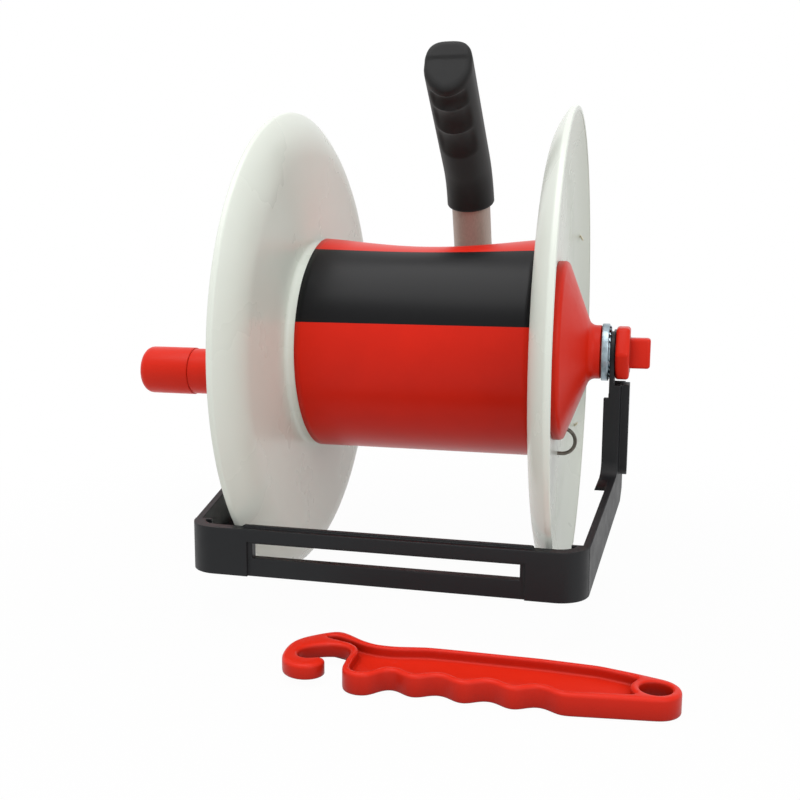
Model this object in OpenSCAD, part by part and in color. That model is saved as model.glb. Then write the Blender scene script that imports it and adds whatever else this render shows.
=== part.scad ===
// Geared electric fence reel: a spool between two arms of a moulded frame, wound by a crank
// through a three to one planetary train, with a carrying grip and a loose hook handle.
// The axle lies along X, the crank is on the -X side, the wire guide bar is at -Y.
// The origin is on the axle, midway between the flanges.

/* [Drum] */
// Outside diameter of the two drum flanges
flange_d = 240; // [220:1:244]
// Wall of the flange plates
flange_t = 3; // [2:0.1:4]
// Clear width between the flanges
drum_gap = 124; // [110:1:126]
// Diameter at which the flange starts to curve outwards
lip_start_d = 195; // [180:1:206]
// How far the flange lip curves outwards
lip_out = 9; // [6:0.1:11]
// Outside diameter of the drum core
core_d = 106; // [90:1:112]
// Wall of the drum core
core_wall = 3; // [2:0.1:5]
// Fillet between the core and the flange
core_fillet = 4; // [2:0.1:6]
// Wall of the printed sleeve round the core
label_t = 0.8; // [0.4:0.1:1.2]
// Diameter of the three tie screws through the drum
tie_screw_d = 4; // [3:0.1:5]
// Radius of the circle that the tie screws stand on
tie_circle_r = 38; // [36:0.5:40]

/* [Axle and brake] */
// Diameter of the fixed axle
axle_d = 12; // [10:0.1:13]
// Diameter of the axle's threaded end
thread_d = 10; // [8:0.1:10]
// Outside diameter of the hub cone at its base
cone_d = 90.6; // [84:0.1:96]
// Outside diameter of the hub cone's sleeve
cone_sleeve_d = 25.4; // [22:0.1:27]
// Wall of the hub cone
cone_wall = 3; // [2:0.1:4]
// Outside diameter of the zinc brake washer
washer_d = 28.8; // [26:0.1:30]
// Thickness of the zinc brake washer
washer_t = 3.6; // [2:0.1:4]
// Size across the corners of the brake knob's hexagon
knob_hex_d = 29.6; // [26:0.1:30]
// Thickness of the brake knob's hexagon
knob_hex_t = 6.8; // [5:0.1:8]
// Reach of the brake knob's wing
wing_l = 10; // [8:0.1:14]
// Height of the brake knob's wing
wing_h = 15; // [12:0.1:20]
// Thickness of the brake knob's wing
wing_t = 9; // [6:0.1:11]

/* [Gear train] */
// Module of the gear teeth
gear_m = 1.25; // [1.2:0.01:1.28]
// Teeth on the sun gear
sun_teeth = 24; // [24:12:24]
// Teeth on each planet gear
planet_teeth = 12; // [12:12:12]
// Face width of the gears
gear_w = 9; // [7:0.5:10]
// Diameter of the planet pins
pin_d = 4.9; // [4:0.1:6]
// Thickness of the planet carrier
carrier_t = 4.3; // [3.5:0.1:4.5]
// Wall of the gear case
case_wall = 3.5; // [3:0.1:5]

/* [Crank] */
// Radius of the crank, from the axle to the knob
crank_r = 80; // [70:1:90]
// Angle of the crank at rest, from straight back, upwards
crank_angle = -20; // [-60:1:60]
// Thickness of the crank arm
crank_t = 8; // [6:0.5:9]
// Diameter of the crank shaft
crank_shaft_d = 18; // [17:0.1:19]
// Outside diameter of the crank knob's sleeve
crank_knob_d = 28.5; // [26:0.1:30]
// Length of the crank knob's sleeve
crank_knob_l = 59; // [55:1:75]
// Outside diameter of the crank knob's cap
crank_cap_d = 29.6; // [27:0.1:32]
// Length of the crank knob's cap
crank_cap_l = 31; // [26:1:36]
// Diameter of the steel spindle in the crank knob
spindle_d = 8; // [6:0.1:10]

/* [Frame] */
// Distance from the axle to the front face of the guide bar
bar_reach = 103; // [102:0.5:112]
// Height of the guide bar
bar_h = 22.1; // [20:0.1:24]
// Depth of the guide bar's top edge below the axle
bar_drop = 75; // [73:0.5:80]
// Thickness of the guide bar
bar_t = 5.5; // [4.5:0.1:5.6]
// Outside radius of the guide bar's corner bends
bend_r = 14; // [11:0.5:16]
// How far the outside of each side strap stands out past the arm's head
strap_out = 4.3; // [3.8:0.1:4.8]
// Splay of the right side strap, outwards
strap_splay = 5.6; // [5:0.1:6.2]
// Splay of the left side strap, outwards
strap_splay_left = 3; // [2.6:0.1:3.6]
// Rise of each side strap's top edge for each unit it runs back
top_rise_share = 0.17; // [0.1:0.01:0.19]
// Rise of each side strap's bottom edge for each unit it runs back
low_rise_share = 0.21; // [0.2:0.01:0.24]
// Wall of the side straps and arms
strap_wall = 3.2; // [2.5:0.1:4]
// Depth of the channel's lips on the straps and arms
strap_lip = 8; // [6:0.1:8.2]
// Width of each arm, front to back
arm_w = 20; // [16:0.5:24]
// Length of the wire guide slot
slot_l = 122; // [100:1:124]
// Height of the wire guide slot
slot_h = 6.9; // [6:0.1:8]
// Depth of the slot's top edge below the bar's top edge
slot_down = 6.75; // [5:0.05:7.5]

/* [Handle] */
// Outside diameter of the handle tube
tube_d = 23.5; // [20:0.1:25]
// Wall of the handle tube
tube_wall = 1.5; // [1:0.1:2.5]
// Lean of the lower handle from upright, backwards at its foot
tube_lean = 20.9; // [18:0.1:26]
// Bend of the handle over the drum
tube_bend = 32.5204; // [20:0.0001:40]
// Radius of the handle bend
tube_bend_r = 52; // [46:1:60]
// Outside diameter of the rubber grip
grip_d = 29; // [27:0.1:32]
// Straight length of the grip above the bend
grip_top_l = 76; // [66:0.5:80]
// Straight length of the grip below the bend
grip_foot_l = 2.5; // [2:0.5:10]
// Slant of the grip's end face
grip_slant = 16.2602; // [12:0.0001:20]
// Depth of the finger grooves in the grip
groove_deep = 2; // [1:0.1:2.2]

/* [Hook handle] */
// Distance between the hook handle's eye and the end finger lobe
lobe_reach = 33; // [30:0.5:36]
// Spacing of the finger lobes
lobe_pitch = 19.3; // [18:0.1:21]
// Thickness of the hook handle's body
hook_body_t = 8.6; // [8:0.1:12]
// Thickness of the hook itself
hook_t = 5.8; // [5:0.1:7]
// Diameter of the hook handle's eye
eye_d = 12.4; // [10:0.1:14]
// Wall round the eye and along the hook handle's rim
rim_w = 3.6; // [3:0.1:4.5]

/* [Hidden] */
$fn = 96;

// Fits and the overrun of cuts
run_fit = 0.05;
seat_fit = 0.02;
part_gap = 0.3;
over = 1;
arc_steps = 10;

// Drum
flange_in = drum_gap / 2;
flange_out = flange_in + flange_t;
core_r = core_d / 2;
lip_run = (flange_d - lip_start_d) / 2;
lip_r = (lip_run * lip_run + lip_out * lip_out) / (2 * lip_out);
lip_turn = asin(lip_run / lip_r);
edge_t = 2.6;
edge_w = 2.2;
edge_x = flange_in + lip_out + edge_t;
bush_wall = 3;
bush_l = 20;
hub_wall = 5;
spigot_l = 10;
spigot_t = 2;
label_l = drum_gap - 2 * (core_fillet + part_gap) - over;
tie_head_d = 8;
tie_head_t = 2.6;
tie_angles = [30, 150, 270];
sun_hex_d = 28;

// Hub cone and brake stack, going out along the axle
cone_rim_l = 4.7;
cone_l = 17;
cone_tall = 22.3;
cone_end = flange_out + cone_tall;
cone_ring_w = 12;
cone_ring_t = 3.5;
washer_at = cone_end + part_gap;
spring_t = 0.8;
spring_d = 26.4;
plate_at = washer_at + washer_t + spring_t;
plate_t = 2.2;
knob_at = plate_at + plate_t + part_gap;
knob_chamfer = 2;
insert_d = 16;
insert_l = 6;
axle_end = knob_at + insert_l - over;
wing_round = 2;

// Gear train, going out from the drum to the crank
sun_collar_t = 4.5;
gear_gap = 1;
gear_at = flange_out + sun_collar_t + gear_gap;
sun_r = gear_m * sun_teeth / 2;
planet_r = gear_m * planet_teeth / 2;
ring_teeth = sun_teeth + 2 * planet_teeth;
ring_r = gear_m * ring_teeth / 2;
planet_orbit = sun_r + planet_r;
planet_angles = [0, 120, 240];
pressure_angle = 25;
add_share = 0.8;
ded_share = 1.05;
flank_backlash = 0.12;
ring_wall = 5;
carrier_at = gear_at + gear_w + gear_gap;
carrier_r = ring_r - gear_gap;
case_at = gear_at - gear_gap;
case_r = ring_r + ring_wall + case_wall;
case_end_t = 3;
case_out = plate_at - part_gap;
case_chamfer = 6;
case_hole_d = crank_shaft_d + 2 * bush_wall;
case_screw_d = 3;
case_screw_head_d = 5.6;
case_screw_head_t = 2.2;
case_circle_r = 24;
case_angles = [45, 135, 225];
axle_seat_l = 9;
axle_foot = carrier_at + carrier_t + axle_seat_l;

// Left arm boss and crank, going out
boss_plate_r = 32;
boss_plate_t = plate_t + part_gap;
boss_r = 16;
boss_l = 10.5;
bush_flange_r = 14;
bush_flange_t = 1.5;
boss_out = case_out + boss_l;
arm_at = boss_out + bush_flange_t + part_gap;
square_w = 12;
crank_hub_r = 14;
crank_tip_r = 10;
crank_screw_d = 6;
crank_screw_head_r = 8;
crank_screw_head_t = 3;
crank_screw_l = 12;
knob_in = arm_at + crank_t + part_gap;
knob_mid = knob_in + crank_knob_l;
knob_out = knob_mid + crank_cap_l;
cap_spigot_l = 9;
cap_spigot_d = 20;
cap_end_t = 5;
cap_round = 5;
spindle_head_r = 7.5;
spindle_head_t = 4;
knob_round = 2;

// Frame
bar_bottom = bar_drop + bar_h;
bend_y = -(bar_reach - bend_r);
strap_x = plate_at + plate_t + strap_out;
bend_step = 0.01;
bend_xs = [for (a = [strap_splay, strap_splay_left])
    round((strap_x - bend_r + bend_y * tan(a)) / bend_step) * bend_step];
splays = [strap_splay, strap_splay_left];
bar_span = bend_xs[0] + bend_xs[1];
recess_deep = 1.2;
recess_rim = 1;
recess_more = 4.4;
recess_l = slot_l + recess_more;
ridge_more = 6.6;
ridge_l = recess_l + ridge_more;
ridge_h = 1;
ridge_t = 2;
lip_end = 15.5;
lip_step = 22;
strap_len = bar_reach + arm_w;
seam = 0.05;
heel_cut = 5;
knee_fillet = 8;
knee_y = -arm_w / 2 - knee_fillet;
strip_w = 12;
strip_t = 3.4;
strip_foot = 56;
boss_disc_r = 10.6;
tongue_back = 46;
tongue_low = 14;
tongue_high = 8;

// Rear yoke and handle socket
yoke_t = 5;
yoke_h = 22;
yoke_front = 17;
yoke_back = 141;
yoke_bar_t = 6;
yoke_bend_r = 12;
yoke_drop_share = 0.09;
yoke_top = 7;
yoke_screw_d = 4;
yoke_screw_head_d = 7;
yoke_screw_head_t = 2.4;
yoke_screw_spots = [24, 38];
yoke_screw_up = 4;
yoke_x = plate_at + plate_t;
socket_wall = 4;
socket_l = 44;
socket_y = 147.1;
socket_z = -15;
tube_below = 18;
grip_foot_up = 97.5;
grip_end_t = 7;
groove_r = 18;
groove_first = 60;
groove_pitch = 16.4;
groove_count = 3;
bolt_d = 5;
bolt_head_d = 9;
bolt_head_t = 3.5;

// Wire loop on the right flange
loop_d = 2;
loop_r = 6.8;
loop_leg = 2.4;
loop_y = 21;
loop_z = -50.5;

// Hook handle, measured from its eye: the body runs along -X and the finger lobes face -Y
eye_x = 118.6;
eye_y = -146.9;
hook_turn = -1.1;
hook_floor = -flange_d / 2;
eye_r = eye_d / 2 + rim_w;
lobe_count = 5;
lobe_amp = 2.3;
lobe_steps = 8;
front_mid = 12.2;
end_lobe_r = 8.4;
end_lobe_y = -10;
end_lobe_x = -lobe_reach - (lobe_count - 1) * lobe_pitch;
end_more = end_lobe_r - end_lobe_y - front_mid - lobe_amp;
body_left = end_lobe_x - end_lobe_r;
pocket_end = 13.5;
back_y = 15.6;
back_run = 22;
neck_x = 107;
neck_y = 12.6;
neck_run = 17;
shoulder_x = 121;
shoulder_y = 19.5;
hook_top_x = 135;
hook_top_y = 11.5;
hook_top_r = 12.6;
hook_low_x = 137.3;
hook_low_y = -5;
hook_low_r = 10.2;
curl_x = 136.5;
curl_y = -2.5;
curl_r = 4.7;
mouth_y = 8.3;
tip_x = 130.2;
tip_y = -7;
tip_r = 3;
web_t = 3;

// A rod along the axle's direction between two places
module rod(d, x0, x1) {
    translate([min(x0, x1), 0, 0]) rotate([0, 90, 0]) cylinder(d = d, h = abs(x1 - x0));
}

// A profile of radius and place along the axle, turned about the axle
module turned(profile) {
    rotate([0, 90, 0]) rotate_extrude() polygon(profile);
}

// A flat outline in Y and Z, made thick along X
module side_plate(x0, x1) {
    translate([x0, 0, 0]) rotate([90, 0, 90]) linear_extrude(x1 - x0) children();
}

// A point at an angle on a circle
function polar(r, a) = [r * cos(a), r * sin(a)];

// Points of an arc about a centre
function arc(c, r, a0, a1, n = arc_steps) =
    [for (i = [0:n]) c + polar(r, a0 + (a1 - a0) * i / n)];

// Angle of an involute of base radius rb at radius r, in degrees
function involute(rb, r) =
    let (t = sqrt(max(0, r * r / (rb * rb) - 1))) t * 180 / PI - atan(t);

// Outline of a spur gear with a tooth on the +X direction
function gear_points(teeth, pitch_r, tip_r, root_r, slack) =
    let (
        rb = pitch_r * cos(pressure_angle),
        half = 90 / teeth - slack / pitch_r * 180 / PI + involute(rb, pitch_r),
        low = max(rb, root_r),
        flank = [for (i = [0:4]) low + (tip_r - low) * i / 4]
    )
    [for (k = [0:teeth - 1], p = concat(
        [polar(root_r, k * 360 / teeth - half + involute(rb, low))],
        [for (r = flank) polar(r, k * 360 / teeth - half + involute(rb, r))],
        [for (i = [4:-1:0]) polar(flank[i], k * 360 / teeth + half - involute(rb, flank[i]))],
        [polar(root_r, k * 360 / teeth + half - involute(rb, low))])) p];

// Half of the drum's profile with its flange, before its hub is cut
function drum_profile(hub_r, bore_r) =
    let (
        lip = [lip_start_d / 2, flange_in + lip_r],
        fillet = [core_r + core_fillet, flange_in - core_fillet]
    )
    concat(
        [[bore_r, flange_out]],
        arc(lip, lip_r - flange_t, -90, -90 + lip_turn),
        [[flange_d / 2 - edge_w, edge_x], [flange_d / 2, edge_x]],
        arc(lip, lip_r, -90 + lip_turn, -90),
        arc(fillet, core_fillet, 90, 180),
        [[core_r, 0], [core_r - core_wall, 0], [core_r - core_wall, flange_in]],
        [[hub_r, flange_in], [hub_r, flange_in - bush_l], [bore_r, flange_in - bush_l]]);

// Holes for the three tie screws
module tie_holes(d) {
    for (a = tie_angles) rotate([a, 0, 0]) translate([0, tie_circle_r, 0])
        rod(d, -flange_out - over, flange_out + cone_ring_t);
}

module drum_right() {
    color("ghostwhite") difference() {
        turned(drum_profile(axle_d / 2 + bush_wall + hub_wall, axle_d / 2 + bush_wall + seat_fit));
        tie_holes(tie_screw_d + 2 * run_fit);
    }
}

module drum_left() {
    spigot_r = core_r - core_wall - part_gap;
    color("ghostwhite") difference() {
        union() {
            mirror([1, 0, 0]) turned(drum_profile(sun_hex_d / 2 + hub_wall, axle_d / 2));
            turned([[spigot_r, -spigot_l], [spigot_r, spigot_l],
                [spigot_r - spigot_t, spigot_l], [spigot_r - spigot_t, -spigot_l]]);
            turned([[core_r - core_wall + seat_fit, -spigot_l], [core_r - core_wall + seat_fit, -part_gap],
                [spigot_r - spigot_t, -part_gap], [spigot_r - spigot_t, -spigot_l]]);
        }
        translate([-flange_out - over, 0, 0]) rotate([0, 90, 0])
            cylinder(d = sun_hex_d + 2 * run_fit, h = bush_l + flange_t + 2 * over, $fn = 6);
        tie_holes(tie_screw_d + 2 * run_fit);
    }
}

module label_sleeve() {
    inner = core_r + seat_fit;
    color("crimson") turned([[inner, -label_l / 2], [inner + label_t, -label_l / 2],
        [inner + label_t, label_l / 2], [inner, label_l / 2]]);
}

module tie_screws() {
    color("silver") for (a = tie_angles) rotate([a, 0, 0]) translate([0, tie_circle_r, 0]) {
        rod(tie_screw_d, -flange_out, flange_out + cone_ring_t - over);
        rod(tie_head_d, -flange_out - tie_head_t, -flange_out);
    }
}

module hub_cone() {
    base_r = cone_d / 2;
    sleeve_r = cone_sleeve_d / 2;
    rim_at = flange_out + cone_rim_l;
    neck_at = flange_out + cone_l;
    bore = axle_d / 2 + part_gap;
    ring_in = base_r - cone_ring_w;
    color("red") difference() {
        turned([[ring_in, flange_out], [base_r, flange_out], [base_r, rim_at], [sleeve_r, neck_at],
            [sleeve_r, cone_end], [bore, cone_end], [bore, neck_at - cone_wall],
            [sleeve_r, neck_at - cone_wall], [ring_in, flange_out + cone_ring_t]]);
        tie_holes(tie_screw_d + 2 * run_fit);
    }
}

module drum_bush() {
    inner = axle_d / 2 + run_fit;
    outer = axle_d / 2 + bush_wall;
    foot = flange_in - bush_l;
    color("ivory") turned([[inner, foot], [outer, foot], [outer, flange_out], [inner, flange_out]]);
}

module tie_off_loop() {
    bend_at = flange_out + loop_leg;
    color("slategray") translate([0, loop_y, loop_z]) {
        translate([bend_at, 0, 0]) rotate([90, 0, 0]) rotate([0, 0, -90])
            rotate_extrude(angle = 180) translate([loop_r, 0]) circle(d = loop_d, $fn = 24);
        for (side = [-1, 1]) translate([0, 0, side * loop_r]) rod(loop_d, flange_out, bend_at);
    }
}

module axle() {
    color("silver") {
        rod(axle_d, -axle_foot, plate_at);
        rod(thread_d, plate_at, axle_end);
    }
}

module brake_washer() {
    color("lightsteelblue") difference() {
        rod(washer_d, washer_at, washer_at + washer_t);
        rod(axle_d + 2 * run_fit, washer_at - over, washer_at + washer_t + over);
    }
}

module spring_washer() {
    at = washer_at + washer_t;
    color("dimgray") difference() {
        rod(spring_d, at, at + spring_t);
        rod(axle_d + 2 * run_fit, at - over, at + spring_t + over);
    }
}

module brake_knob() {
    hex_r = knob_hex_d / 2;
    wing_end = knob_at + knob_hex_t + wing_l;
    color("red") difference() {
        union() {
            intersection() {
                translate([knob_at, 0, 0]) rotate([0, 90, 0])
                    cylinder(d = knob_hex_d, h = knob_hex_t, $fn = 6);
                turned([[0, knob_at], [hex_r, knob_at], [hex_r, knob_at + knob_hex_t - knob_chamfer],
                    [hex_r - knob_chamfer, knob_at + knob_hex_t], [0, knob_at + knob_hex_t]]);
            }
            intersection() {
                translate([knob_at + knob_hex_t - over, -wing_t / 2, -wing_h / 2])
                    cube([wing_l + over, wing_t, wing_h]);
                side_view_wing(wing_end);
            }
        }
        rod(insert_d + 2 * seat_fit, knob_at - over, knob_at + insert_l);
    }
}

// Wing outline in X and Z with rounded outer corners
module side_view_wing(wing_end) {
    inner = wing_h / 2 - wing_round;
    translate([0, wing_t / 2 + over, 0]) rotate([90, 0, 0]) linear_extrude(wing_t + 2 * over) polygon(concat(
        [[knob_at, -wing_h / 2]],
        arc([wing_end - wing_round, -inner], wing_round, -90, 0),
        arc([wing_end - wing_round, inner], wing_round, 0, 90),
        [[knob_at, wing_h / 2]]));
}

module knob_insert() {
    color("goldenrod") difference() {
        rod(insert_d, knob_at, knob_at + insert_l);
        rod(thread_d + 2 * run_fit, knob_at - over, knob_at + insert_l + over);
    }
}

module sun_gear() {
    color("gold") difference() {
        union() {
            translate([-gear_at - gear_w, 0, 0]) rotate([90, 0, 90]) linear_extrude(gear_w + gear_gap)
                polygon(gear_points(sun_teeth, sun_r, sun_r + add_share * gear_m,
                    sun_r - ded_share * gear_m, flank_backlash));
            rod(sun_hex_d + hub_wall, -flange_out - sun_collar_t, -flange_out);
            translate([-flange_out, 0, 0]) rotate([0, 90, 0])
                cylinder(d = sun_hex_d, h = bush_l + flange_t, $fn = 6);
        }
        rod(axle_d + 2 * (bush_wall + seat_fit), -gear_at - gear_w - over, -flange_in + bush_l + over);
    }
}

module sun_bush() {
    inner = axle_d / 2 + run_fit;
    outer = axle_d / 2 + bush_wall;
    left = -gear_at - gear_w;
    right = -flange_in + bush_l;
    color("ivory") turned([[inner, left], [outer, left], [outer, right], [inner, right]]);
}

module ring_gear() {
    color("gold") difference() {
        rod(2 * (ring_r + ring_wall), -gear_at - gear_w, -gear_at);
        translate([-gear_at - gear_w - over, 0, 0]) rotate([90, 0, 90]) linear_extrude(gear_w + 2 * over)
            rotate(180 / ring_teeth) polygon(gear_points(ring_teeth, ring_r, ring_r + ded_share * gear_m,
                ring_r - add_share * gear_m, -flank_backlash));
    }
}

module planet(i) {
    color("khaki") rotate([planet_angles[i], 0, 0]) translate([0, planet_orbit, 0]) difference() {
        translate([-gear_at - gear_w, 0, 0]) rotate([90, 0, 90]) linear_extrude(gear_w)
            rotate(180 / planet_teeth) polygon(gear_points(planet_teeth, planet_r,
                planet_r + add_share * gear_m, planet_r - ded_share * gear_m, flank_backlash));
        rod(pin_d + 2 * run_fit, -gear_at - gear_w - over, -gear_at + over);
    }
}

module planet_1() {
    planet(0);
}

module planet_2() {
    planet(1);
}

module planet_3() {
    planet(2);
}

module gear_case() {
    end_in = case_out - case_end_t;
    ring_seat = ring_r + ring_wall + seat_fit;
    color("red") difference() {
        turned([[ring_seat, -case_at], [case_r, -case_at], [case_r, -case_out + case_chamfer],
            [case_r - case_chamfer, -case_out], [case_hole_d / 2, -case_out], [case_hole_d / 2, -end_in],
            [carrier_r + gear_gap, -end_in], [carrier_r + gear_gap, -gear_at - gear_w],
            [ring_seat, -gear_at - gear_w]]);
        case_holes(case_screw_d + 2 * seat_fit, case_out + over, end_in - over);
    }
}

// Holes on the gear case's screw circle
module case_holes(d, x0, x1) {
    for (a = case_angles) rotate([a, 0, 0]) translate([0, case_circle_r, 0]) rod(d, -x0, -x1);
}

module case_screws() {
    head_at = case_out + boss_plate_t;
    color("silver") {
        case_holes(case_screw_d, head_at, case_out - case_end_t);
        case_holes(case_screw_head_d, head_at + case_screw_head_t, head_at);
    }
}

module carrier() {
    square_at = arm_at;
    color("dimgray") difference() {
        union() {
            rod(2 * carrier_r, -carrier_at - carrier_t, -carrier_at);
            rod(crank_shaft_d, -square_at, -carrier_at);
            translate([-square_at - crank_t, -square_w / 2, -square_w / 2])
                cube([crank_t + over, square_w, square_w]);
        }
        rod(axle_d + 2 * run_fit, -axle_foot - part_gap, -carrier_at + over);
        rod(crank_screw_d + 2 * seat_fit, -square_at - crank_t - over, -square_at - crank_t + crank_screw_l);
        for (a = planet_angles) rotate([a, 0, 0]) translate([0, planet_orbit, 0])
            rod(pin_d + 2 * seat_fit, -carrier_at - carrier_t - over, -carrier_at + over);
    }
}

module planet_pins() {
    color("silver") for (a = planet_angles) rotate([a, 0, 0]) translate([0, planet_orbit, 0])
        rod(pin_d, -carrier_at - carrier_t, -gear_at);
}

module crank_bush() {
    inner = crank_shaft_d / 2 + run_fit;
    outer = crank_shaft_d / 2 + bush_wall;
    color("ivory") turned([[inner, -case_out], [outer, -case_out], [outer, -boss_out],
        [bush_flange_r, -boss_out], [bush_flange_r, -boss_out - bush_flange_t],
        [inner, -boss_out - bush_flange_t]]);
}

module crank_arm() {
    tip = polar(crank_r, crank_angle);
    lean = asin((crank_hub_r - crank_tip_r) / crank_r);
    color("red") side_plate(-arm_at - crank_t, -arm_at) difference() {
        union() {
            circle(crank_hub_r);
            translate(tip) circle(crank_tip_r);
            polygon([polar(crank_hub_r, crank_angle + 90 - lean), polar(crank_hub_r, crank_angle - 90 + lean),
                tip + polar(crank_tip_r, crank_angle - 90 + lean),
                tip + polar(crank_tip_r, crank_angle + 90 - lean)]);
        }
        square(square_w + 2 * run_fit, center = true);
        translate(tip) circle(d = spindle_d + 2 * seat_fit);
    }
}

module crank_screw() {
    end = arm_at + crank_t;
    color("silver") {
        rod(crank_screw_d, -end, -end + crank_screw_l - over);
        rod(2 * crank_screw_head_r, -end - crank_screw_head_t, -end);
    }
}

// Moves a piece from the axle out to the crank's knob
module at_knob() {
    translate([0, crank_r * cos(crank_angle), crank_r * sin(crank_angle)]) children();
}

module knob_spindle() {
    head_at = knob_mid + cap_spigot_l + part_gap;
    color("silver") at_knob() {
        rod(spindle_d, -head_at, -arm_at);
        rod(2 * spindle_head_r, -head_at - spindle_head_t, -head_at);
    }
}

module crank_knob() {
    r = crank_knob_d / 2;
    bore = spindle_d / 2 + run_fit;
    color("red") at_knob() turned(concat(
        [[bore, -knob_in]],
        arc([r - knob_round, -knob_in - knob_round], knob_round, 90, 0),
        [[r, -knob_mid], [cap_spigot_d / 2, -knob_mid], [cap_spigot_d / 2, -knob_mid - cap_spigot_l],
            [bore, -knob_mid - cap_spigot_l]]));
}

module crank_cap() {
    r = crank_cap_d / 2;
    inner = cap_spigot_d / 2 + seat_fit;
    color("red") at_knob() turned(concat(
        [[inner, -knob_mid], [r, -knob_mid]],
        arc([r - cap_round, -knob_out + cap_round], cap_round, 0, -90),
        [[0, -knob_out], [0, -knob_out + cap_end_t], [inner, -knob_out + cap_end_t]]));
}

// Plan of one side strap and its corner, with the wall from the outside in
module strap_plan(side, wall) {
    translate([bend_xs[side], bend_y]) rotate(-splays[side]) translate([bend_r - wall, -over])
        square([wall + seam, strap_len + over]);
}

// Plan of the guide bar, its corner bends and the straps' outer walls
module hoop_plan() {
    translate([-bend_xs[1], -bar_reach]) square([bar_span, bar_t]);
    for (side = [0, 1]) mirror([side, 0]) {
        translate([bend_xs[side], bend_y]) intersection() {
            difference() {
                circle(bend_r);
                circle(bend_r - bar_t);
            }
            polygon([[0, 0], [0, -2 * bend_r], [2 * bend_r, -2 * bend_r], polar(2 * bend_r, -splays[side])]);
        }
        strap_plan(side, strap_lip);
    }
}

// Height of the strap's top edge and of its bottom edge at a place in Y
function strap_top(y) = -bar_drop + max(0, y - bend_y) * top_rise_share;
function strap_low(y) = -bar_bottom + max(0, y - bend_y) * low_rise_share;

// Side view of the bar, strap and arm, drawn in by an inset
module side_outline(inset, foot, top) {
    half = arm_w / 2 - inset;
    knee = strap_top(-half) - inset;
    front = bend_y + inset;
    polygon(concat(
        [[foot, strap_low(foot) + inset], [front, strap_low(front) + inset]],
        [[half - heel_cut, strap_low(half - heel_cut) + inset]],
        [[half, strap_low(half) + heel_cut + inset], [half, top], [-half, top]],
        arc([-half - knee_fillet, knee + knee_fillet], knee_fillet, 0, -80),
        [[front, strap_top(front) - inset], [foot, strap_top(foot) - inset]]));
}

// Flat plate at an arm's top with the tongue that the yoke is screwed to
module arm_head(x0, x1, r) {
    side_plate(x0, x1) {
        circle(r);
        translate([-arm_w / 2, -lip_end - arm_w / 2]) square([arm_w, lip_end + arm_w / 2]);
        translate([0, -tongue_low]) square([tongue_back, tongue_low + tongue_high]);
    }
}

// The rear yoke's screws or their holes, on one side
module yoke_rods(d, x0, x1) {
    for (y = yoke_screw_spots) translate([0, y, yoke_mid(y) + yoke_screw_up]) rod(d, x0, x1);
}

// Height of the yoke arm's centre line at a place in Y
function yoke_mid(y) = yoke_top - yoke_h / 2 - (y - yoke_front) * yoke_drop_share;

module frame() {
    reach = bar_span + 2 * strap_len;
    tall = 2 * bar_bottom;
    color("#28292b") difference() {
        union() {
            intersection() {
                translate([0, 0, -tall]) linear_extrude(2 * tall) hoop_plan();
                side_plate(-reach, reach) side_outline(0, -bar_reach - over, -lip_end);
            }
            guide_ridge();
            for (side = [0, 1]) mirror([side, 0, 0]) arm_strip();
            arm_head(plate_at, plate_at + plate_t, boss_disc_r);
            arm_head(-case_out - boss_plate_t, -case_out, boss_plate_r);
            rod(2 * boss_r, -boss_out, -case_out);
        }
        for (side = [0, 1]) mirror([side, 0, 0]) channel_pocket(side);
        guide_slot();
        translate([plate_at - strap_lip, -arm_w / 2 - over, -lip_step])
            cube([strap_lip, arm_w + 2 * over, lip_step - lip_end + over]);
        rod(2 * (case_r + part_gap), -case_out, -case_at);
        rod(thread_d + 2 * seat_fit, plate_at - over, plate_at + plate_t + over);
        rod(crank_shaft_d + 2 * (bush_wall + seat_fit), -boss_out - over, -case_out + over);
        case_holes(case_screw_d + 2 * seat_fit, case_out + boss_plate_t + over, case_out - over);
        yoke_rods(yoke_screw_d + 2 * seat_fit, plate_at - over, yoke_x + over);
        yoke_rods(yoke_screw_d + 2 * seat_fit, -case_out - boss_plate_t - over, -case_out + over);
    }
}

// Inside of the channel of one strap and arm
module channel_pocket(side) {
    reach = bar_span + strap_len;
    intersection() {
        translate([0, 0, -2 * bar_bottom]) linear_extrude(4 * bar_bottom) difference() {
            strap_plan(side, 2 * strap_lip);
            strap_plan(side, strap_wall);
        }
        side_plate(0, reach) {
            side_outline(strap_wall, bend_y, -lip_end - strap_wall);
            polygon([
                [bend_y, strap_low(bend_y) + strap_wall], [knee_y, strap_low(knee_y) + strap_wall],
                [knee_y, strap_top(knee_y) + over], [bend_y, strap_top(bend_y) + over]]);
        }
    }
}

// Recess of the bar's front face, open at its foot, and the wire slot through it
module guide_slot() {
    slot_top = -bar_drop - slot_down;
    translate([-recess_l / 2, -bar_reach - over, -bar_bottom - over])
        cube([recess_l, recess_deep + over, bar_h - slot_down + recess_rim + over]);
    translate([-slot_l / 2, -bar_reach - over, slot_top - slot_h])
        cube([slot_l, bar_t + 2 * over, slot_h]);
}

// Thin ridge with rounded ends along the back of the bar's top edge
module guide_ridge() {
    mid = ridge_l / 2 - ridge_h;
    translate([0, -bar_reach + bar_t, -bar_drop]) rotate([90, 0, 0]) linear_extrude(ridge_t) {
        translate([-mid, -over]) square([2 * mid, ridge_h + over]);
        for (side = [-1, 1]) translate([side * mid, 0]) circle(ridge_h, $fn = 32);
    }
}

// Raised strip on the outside of an arm
module arm_strip() {
    face = strap_x - (strap_wall - over);
    side_plate(face, face + strap_wall + strip_t - over) {
        translate([-strip_w / 2, -strip_foot]) square([strip_w, strip_foot - lip_end]);
        translate([0, -strip_foot]) circle(strip_w / 2);
    }
}

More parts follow.
